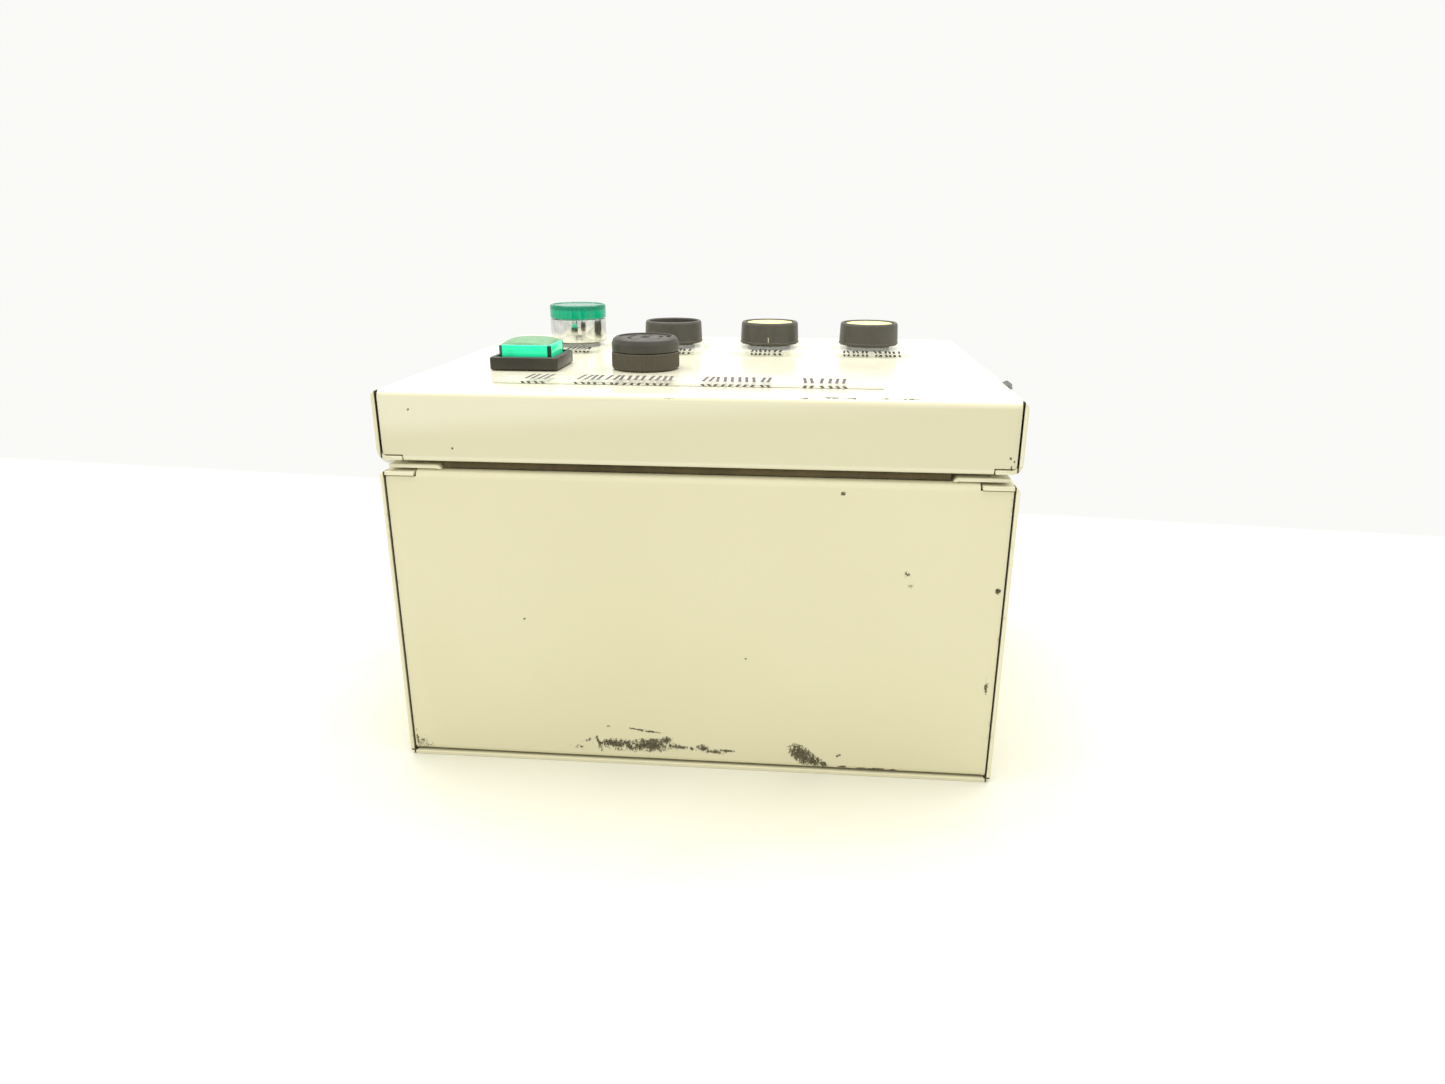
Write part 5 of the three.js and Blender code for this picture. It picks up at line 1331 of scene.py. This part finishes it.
def gear():
    a, b = lo("mounting_plate"), hi("mounting_plate")
    o = fillet([(a.x, a.y), (b.x, a.y), (b.x, b.y), (a.x, b.y)], 4, 6, True)
    plate = g_prism(o, 'Z', a.z, b.z)
    ops = [('DIFFERENCE', g_shift(g_lathe([(0, 10), (3.4, 10), (3.4, 16), (0, 16)], seg=32), sx * 98, sy * 58)) for sx in (-1, 1) for sy in (-1, 1)]
    plate = g_bevel(boolean(plate, ops), 0.25, 2, 50)
    Piece("gear_plate").add(plate, M['plate']).build("enclosure", "mounting_plate", "zinc_steel", sharp=34, weighted=True)
    n = 1
    for sy in (-1, 1):
        for sx in (-1, 1):
            hexnut(sx * 98, sy * 58, lo("plate_nut_%d" % n).z, "nut_%d" % n, "plate_nut_%d" % n)
            n += 1

    # contactor
    a, b = lo("contactor_base"), hi("contactor_base")
    xc, yc = (a.x + b.x) / 2, (a.y + b.y) / 2
    p = Piece("contactor_lower")
    shell = boolean(g_box(a.x, b.x, a.y, b.y, a.z, b.z, 1.2, 4), [('DIFFERENCE', g_box(a.x + 3, b.x - 3, a.y + 3, b.y - 3, a.z + 3, b.z + 2, 0))])
    p.add(shell, M['phenolic'])
    for s in (-1, 1):
        for q in range(7):
            zz = a.z + 6 + q * 4.2
            p.add(g_box(xc - 20, xc + 20, (a.y - 0.25) if s < 0 else (b.y - 0.2), (a.y + 0.2) if s < 0 else (b.y + 0.25), zz, zz + 1.6, 0), M['phenolic'])
    p.build("enclosure", "contactor_base", "moulded_black", sharp=34)

    a2, b2 = lo("contactor_housing"), hi("contactor_housing")
    p = Piece("contactor_upper")
    deck = boolean(g_box(xc - 25, xc + 25, a2.y, b2.y, 50.3, 62, 0.8, 3), [('DIFFERENCE', g_box(xc - 20, xc + 20, yc - 18, yc + 18, 48, 70, 0))])
    p.add(deck, M['phenolic'])
    tower = boolean(g_box(xc - 23, xc + 23, yc - 21, yc + 21, 50.4, b2.z, 1.4, 4), [('DIFFERENCE', g_box(xc - 20, xc + 20, yc - 18, yc + 18, 48, 86, 0)), ('DIFFERENCE', g_box(xc - 6, xc + 6, yc - 5, yc + 5, 80, 95, 0))])
    p.add(tower, M['phenolic'])
    for dx in (-25, -9.2, 6.2, 22):
        for s in (-1, 1):
            y0, y1 = (yc - 39, yc - 20.8) if s < 0 else (yc + 20.8, yc + 39)
            p.add(g_box(xc + dx, xc + dx + 3, y0, y1, 61.5, 76, 0.6, 3), M['phenolic'])
    for dx in (-15.6, -0.1, 15.4):
        for s in (-1, 1):
            cy = yc + s * 30
            p.add(g_box(xc + dx - 5, xc + dx + 5, cy - 6, cy + 6, 61.6, 62.7, 0.2), M['brass'])
            screw_head(p, xc + dx, cy, 65.2, 3.6, M['screw'], turn=dx)
            p.add(g_box(xc + dx - 4.6, xc + dx + 4.6, cy - 4.6, cy + 4.6, 62.7, 64.1, 0.3), M['screw'])
    # arc-vent ribs
    for s in (-1, 1):
        for q in range(6):
            xx = xc - 15 + q * 6
            p.add(g_box(xx - 0.8, xx + 0.8, yc + s * 9.0 - 3.4, yc + s * 9.0 + 3.4, b2.z - 0.6, b2.z - 0.01, 0.0), M['phenolic'])
    p.build("enclosure", "contactor_housing", "moulded_black", sharp=34)

    p = Piece("armature_carrier")
    p.add(g_box(xc - 18, xc + 18, yc - 6, yc + 6, 54.5, 64, 0.5, 2), M['core'])
    p.add(g_box(xc - 5.6, xc + 5.6, yc - 4.6, yc + 4.6, 63.8, hi("contactor_armature").z, 0.5, 3), M['beige'])
    p.build("armature", "contactor_armature", "beige_plastic", sharp=34)

    a, b = lo("magnet_core"), hi("magnet_core")
    core = boolean(g_box(a.x, b.x, a.y, b.y, a.z, b.z, 0), [('DIFFERENCE', g_box(xc - 12.5, xc - 4.5, yc - 7, yc + 7, a.z + 4.7, 60, 0)), ('DIFFERENCE', g_box(xc + 4.5, xc + 12.5, yc - 7, yc + 7, a.z + 4.7, 60, 0))])
    Piece("fixed_core").add(g_bevel(core, 0.3, 1), M['core']).build("enclosure", "magnet_core", "core_steel", sharp=34)
    a, b = lo("magnet_coil"), hi("magnet_coil")
    bob = []
    for r_, z in ((0, a.z), (0, a.z + 1.6), (-1.0, a.z + 1.6), (-0.4, a.z + 4), (-0.5, b.z - 4), (-1.0, b.z - 1.6), (0, b.z - 1.6), (0, b.z)):
        o = fillet([(a.x - r_, a.y - r_), (b.x + r_, a.y - r_), (b.x + r_, b.y + r_), (a.x - r_, b.y + r_)], 3, 5, True)
        bob.append([(px, py, z) for px, py in o])
    coil = boolean(g_loft(bob), [('DIFFERENCE', g_box(xc - 5, xc + 5, yc - 6.5, yc + 6.5, a.z - 1, b.z + 1, 0))])
    Piece("coil_winding").add(coil, M['coil']).build("enclosure", "magnet_coil", "coil_copper", sharp=34)

    # overload relay
    a, b = lo("overload_relay"), hi("overload_relay")
    rb = boolean(g_box(xc - 23, xc + 23, 12, 55, a.z, 70, 1.2, 4), [
        ('DIFFERENCE', g_shift(g_lathe([(0, 60), (4.2, 60), (4.2, 72), (0, 72)], seg=48), xc + 11, 34)),
        ('DIFFERENCE', g_shift(g_lathe([(0, 68.6), (6.4, 68.6), (6.4, 72), (0, 72)], seg=64), xc - 9, 34))])
    p = Piece("overload_body").add(rb, M['phenolic'])
    p.add(g_box(xc - 23, xc + 23, 54.2, 67, a.z, 44, 0.9, 3), M['phenolic'])
    for dx in (-23, -8.4, 5.8, 20.4):
        p.add(g_box(xc + dx, xc + dx + 2.6, 54.4, 67, 43.4, 56, 0.5, 2), M['phenolic'])
    for dx in (-15.6, -0.1, 15.4):
        p.add(g_box(xc + dx - 2.5, xc + dx + 2.5, -0.5, 13, 63, 65, 0.3, 2), M['brass'])
        p.add(g_box(xc + dx - 4.8, xc + dx + 4.8, 56.2, 66, 43.8, 45, 0.2), M['brass'])
        screw_head(p, xc + dx, 61, 47.6, 3.4, M['screw'], turn=1 + dx)
        p.add(g_box(xc + dx - 4.2, xc + dx + 4.2, 57, 65.2, 45, 46.5, 0.3), M['screw'])
    # plain scale ticks round the dial, no figures
    for q in range(9):
        an = math.radians(210 - q * 30)
        g = g_box(7.2, 8.8, -0.22, 0.22, 69.9, 70.02, 0)
        p.add(g_move(g, Matrix.Translation((xc - 9, 34, 0.0)) @ Matrix.Rotation(an, 4, 'Z')), M['beige'])
    p.build("enclosure", "overload_relay", "moulded_black", sharp=34)
    a = lo("overload_dial")
    dial = g_lathe(fillet([(0, a.z), (5.9, a.z), (5.9, a.z + 2.7), (5.3, a.z + 3.4), (0, a.z + 3.4)], [0, 0.1, 0.3, 0.5, 0], 4), xc - 9, 34, 64)
    dial = boolean(dial, [('DIFFERENCE', g_box(xc - 9 - 4.5, xc - 9 + 4.5, 34 - 0.6, 34 + 0.6, a.z + 2.2, a.z + 5, 0))])
    Piece("current_dial").add(dial, M['beige']).build("dial", "overload_dial", "beige_plastic", sharp=34)
    a, b = lo("overload_reset"), hi("overload_reset")
    rs = g_lathe(fillet([(0, a.z), (3.8, a.z), (3.8, b.z), (2.6, b.z), (2.2, b.z - 0.3), (0, b.z - 0.4)], [0, 0.1, 0.8, 0.3, 0.2, 0], 4), (a.x + b.x) / 2, (a.y + b.y) / 2, 48)
    Piece("reset_plunger").add(rs, M['red']).build("reset", "overload_reset", "red_plastic", sharp=34)

    # circuit protector
    a, b = lo("circuit_protector"), hi("circuit_protector")
    yc2, xc2 = (a.y + b.y) / 2, (a.x + b.x) / 2
    p = Piece("protector_case")
    p.add(g_box(a.x, xc2 - 0.15, a.y, b.y, a.z, a.z + 50, 0.9, 3), M['phenolic'])
    p.add(g_box(xc2 + 0.15, b.x, a.y, b.y, a.z, a.z + 50, 0.9, 3), M['phenolic'])
    nose = g_box(a.x + 0.1, b.x - 0.1, yc2 - 22, yc2 + 22, a.z + 48, b.z, 1.4, 4)
    p.add(nose, M['phenolic'])
    for x in (-79, -61):
        for s in (-1, 1):
            screw_head(p, x, yc2 + s * 31, a.z + 50.0 - 0.05, 3.4, M['screw'], turn=x * s)
    p.build("enclosure", "circuit_protector", "moulded_black", sharp=34)
    hz = 78.3
    rot = Matrix.Translation((0, yc2, hz)) @ Matrix.Rotation(math.radians(18), 4, 'X')
    p = Piece("toggle_handle")
    p.add(g_move(bar_geo(3.4, (-81, 0, 0), (-59, 0, 0), 40, 0.3), rot), M['operator'])
    hd = fillet([(-6, -2.2), (6, -2.2), (6, 2.2), (-6, 2.2)], 0.8, 4, True)
    rings = []
    for sc, z in ((1, 0), (1, 9), (0.97, 11.8), (0.86, 12.8), (0.7, 13.0)):
        rings.append([(-70 + u * sc, w * (sc if z > 9 else 1), z) for u, w in hd])
    p.add(g_move(g_loft(rings), rot), M['beige'])
    p.build("toggle", "protector_toggle", "toggle_black", sharp=34)

    # terminal block
    a, b = lo("terminal_block"), hi("terminal_block")
    p = Piece("terminals")
    p.add(g_box(a.x, b.x, a.y, b.y, a.z, 28, 0.6, 2), M['phenolic'])
    p.add(g_box(a.x, b.x, 52, 60, 27.5, 33, 0.5, 2), M['phenolic'])
    for i in range(9):
        x = -92 + i * 11
        p.add(g_box(x, x + 2, a.y, b.y, 27.5, 38, 0.5, 2), M['phenolic'])
        if i < 8:
            for cy in (47, 65):
                p.add(g_box(x + 2.6, x + 10.4, cy - 4, cy + 4, 28.0, 29.0, 0.2), M['brass'])
                screw_head(p, x + 6.5, cy, 31.4, 2.9, M['screw'], turn=i * 0.7 + cy)
    p.build("enclosure", "terminal_block", "moulded_black", sharp=34)


gear()


# ---------------------------------------------------------------------------
# wiring held by the object
# ---------------------------------------------------------------------------
def strands(p, route, count, lay_r, r, seed, mats, per=6, twist=0.9, spread=None, sides=10):
    rnd = random.Random(seed)
    path = smooth_path(route, per)
    fr = frames(path)
    for s in range(count):
        ph = 2 * math.pi * s / count + rnd.uniform(-0.2, 0.2)
        pts = []
        for i, (q, t, u, w) in enumerate(fr):
            a = ph + twist * i / 10.0
            rr = lay_r if spread is None else spread(i / (len(fr) - 1)) * lay_r
            pts.append(q + u * (rr * math.cos(a)) + w * (rr * math.sin(a)))
        p.add(g_tube(pts, r, sides), mats[s % len(mats)])
    return path, fr


def tie(p, q, t, u, w, R):
    g = g_lathe(fillet([(R, -1.2), (R + 0.5, -1.2), (R + 0.5, 1.2), (R, 1.2)], 0.15, 2, True), seg=32, closed=True)
    m = Matrix.Identity(4)
    for i in range(3):
        m[i][0], m[i][1], m[i][2], m[i][3] = u[i], w[i], t[i], q[i]
    p.add(g_move(g, m), M['tie'])


def wiring():
    z = 21
    trunk = [(-86, 35, z), (-60, 35, z), (-20, 35, z), (-6, 33, z), (2, 26, z), (4, 10, z), (4, -40, z), (4, -66, z), (8, -75.5, z + 2), (18, -76, z + 10), (24.4, -76, z + 26), (24.4, -76, 60), (24.4, -74.5, 67.5), (24.4, -69, 70.0), (24.4, -63, 68.2)]
    p = Piece("loom_wires")
    path, fr = strands(p, trunk, 6, 1.75, 0.95, 3, [WIRES[3], WIRES[1], WIRES[0], WIRES[4], WIRES[0], WIRES[2]], 5)
    for k in (14, 30, 44):
        q, t, u, w = fr[k]
        tie(p, q, t, u, w, 2.75)
    prot = [(4, -20, z), (3, -45, z + 1), (-6, -64, z + 4), (-30, -74, z + 12), (-55, -74, z + 24), (-61, -73, 52), (-61, -73, 62), (-61, -72, 67), (-61, -68, 69.0), (-61, -63, 67.0)]
    strands(p, prot, 3, 1.1, 0.9, 5, [WIRES[3], WIRES[1], WIRES[4]], 5)
    over = [(-16, 35, z), (-4, 35.5, z), (4, 40, z), (6, 54, z + 3), (10, 67, z + 10), (19, 73, z + 20), (24.4, 72, 45), (24.4, 66, 50.0), (24.4, 61.5, 49.2)]
    strands(p, over, 3, 1.1, 0.9, 7, [WIRES[2], WIRES[0], WIRES[3]], 5)
    p.build("enclosure", "wire_loom", "wire_pvc", sharp=60)

    route = [(-96, 30, 18), (-96.4, 40, 22), (-96.5, 54, 27), (-96.4, 68, 36), (-96.2, 75, 57), (-96.2, 76, 85), (-96.2, 68, 106), (-96.2, 40, 116), (-96.2, 0, 128), (-96.2, -40, 141), (-95, -56, 150), (-84, -62, 153.5), (-60, -62, 153.5), (-40, -56, 153.5)]
    p = Piece("door_loom_wires")
    path, fr = strands(p, route, 6, 1.55, 0.85, 9, [WIRES[0], WIRES[0], WIRES[1], WIRES[2], WIRES[4], WIRES[3]], 9, 0.5)
    for k in range(6, len(fr) - 4, 16):
        q, t, u, w = fr[k]
        tie(p, q, t, u, w, 2.35)
    ob = p.build("enclosure", (), "wire_pvc", sharp=60, ride=False)
    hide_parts("door_loom")
    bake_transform(ob)


wiring()


# ---------------------------------------------------------------------------
# stage, light
# ---------------------------------------------------------------------------
def stage():
    me = bpy.data.meshes.new("floor")
    s = 6.0
    me.from_pydata([(-s, -s, 0), (s, -s, 0), (s, s, 0), (-s, s, 0)], [], [(0, 1, 2, 3)])
    ob = bpy.data.objects.new("floor", me)
    bpy.context.scene.collection.objects.link(ob)
    m, n, b = shader("floor")
    v = n.coords()
    x, y, z = n.xyz(v)
    tone = n.ramp(n.noise(v, 2.2, 4, 0.6), 0.35, 0.7)
    dust = n.ramp(n.noise(v, 38, 6, 0.75), 0.66, 0.80)
    # darker warm blotches, strongest under and around the part and gone beyond 0.42 m from its centre
    warm_blotches_by_part = n.math('MULTIPLY', n.ramp(n.noise(v, 5.5, 5, 0.65, 0.6), 0.50, 0.72), n.ramp(n.math('SQRT', n.math('ADD', n.math('MULTIPLY', x, x), n.math('MULTIPLY', y, y))), 0.42, 0.16))
    c = n.mix(tone, rgb(0.70, 0.697, 0.675), rgb(0.735, 0.733, 0.715))
    # painted light and shade: a darker warm tint close to the part, painted in for the cream light bounced off the box
    # and its soft shadow, fading out over a quarter of a metre
    ring = n.math('MAXIMUM', n.math('SUBTRACT', n.math('ABSOLUTE', x), 0.125), n.math('SUBTRACT', n.math('ABSOLUTE', y), 0.10))
    painted_bounce_mask = n.ramp(n.math('ADD', ring, n.math('MULTIPLY', n.math('SUBTRACT', n.noise(v, 7, 3, 0.6), 0.5), 0.10)), 0.26, -0.02)
    c = n.mix(painted_bounce_mask, c, rgb(0.655, 0.645, 0.545))
    c = n.mix(n.math('MULTIPLY', warm_blotches_by_part, 0.22), c, rgb(0.60, 0.56, 0.42))
    c = n.mix(n.math('MULTIPLY', dust, 0.10), c, rgb(0.50, 0.46, 0.38))
    n.link(c, b.inputs["Base Color"])
    n.link(n.ramp(n.noise(v, 12, 4, 0.6), 0.3, 0.7, 0.5, 0.62), b.inputs["Roughness"])
    # the sheet of paper ends behind the part and the backdrop takes over
    back = n.math('SUBTRACT', y, n.math('MULTIPLY', x, -0.10))
    sweep = n.ramp(n.math('SQRT', n.math('ADD', n.math('MULTIPLY', x, x), n.math('MULTIPLY', y, y))), 1.45, 0.80)
    n.link(n.math('MULTIPLY', n.ramp(back, 0.325, 0.305), sweep), b.inputs["Alpha"])
    n.link(n.bump(n.noise(v, 260, 4, 0.6), 0.1, 0.0002), b.inputs["Normal"])
    me.materials.append(m)

    w = bpy.data.worlds.new("world")
    bpy.context.scene.world = w
    w.use_nodes = True
    bg = w.node_tree.nodes["Background"]
    bg.inputs[0].default_value = (0.955, 0.955, 0.935, 1)
    bg.inputs[1].default_value = 1.0

    def area(name, loc, target, size, power, col=(1, 1, 1)):
        d = bpy.data.lights.new(name, 'AREA')
        d.shape = 'RECTANGLE'
        d.size, d.size_y = size
        d.energy = power
        d.color = col
        o = bpy.data.objects.new(name, d)
        bpy.context.scene.collection.objects.link(o)
        o.location = loc
        o.rotation_euler = (Vector(target) - Vector(loc)).to_track_quat('-Z', 'Y').to_euler()
        return o
    area("softbox_top", (0.0, 0.12, 1.40), (0, 0.0, 0.1), (2.0, 1.5), 33.5)
    area("softbox_front", (0.1, -1.7, 0.7), (0, 0, 0.05), (1.6, 1.0), 0.8)

    # dark flags behind the camera, seen only in the reflections of polished metal
    for i, (x0, x1, z0, z1, y) in enumerate(((-0.42, -0.30, 0.05, 1.2, -1.5), (0.02, 0.16, 0.1, 1.1, -1.7), (0.62, 0.74, 0.0, 1.3, -1.4))):
        me = bpy.data.meshes.new("flag_%d" % i)
        me.from_pydata([(x0, y, z0), (x1, y, z0), (x1, y, z1), (x0, y, z1)], [], [(0, 1, 2, 3)])
        o = bpy.data.objects.new("flag_%d" % i, me)
        bpy.context.scene.collection.objects.link(o)
        fm, fn, fb = shader("flag_%d" % i)
        fn.link(fn.mix(fn.ramp(fn.noise(fn.coords(), 6, 3, 0.5), 0.3, 0.7), rgb(0.03, 0.03, 0.028), rgb(0.06, 0.058, 0.05)), fb.inputs["Base Color"])
        me.materials.append(fm)
        o.visible_camera = False
        o.visible_diffuse = False
        o.visible_shadow = False

    sc = bpy.context.scene
    sc.view_settings.view_transform = 'Standard'
    sc.view_settings.look = 'None'
    sc.view_settings.exposure = 0.0
    sc.view_settings.gamma = 1.0


stage()
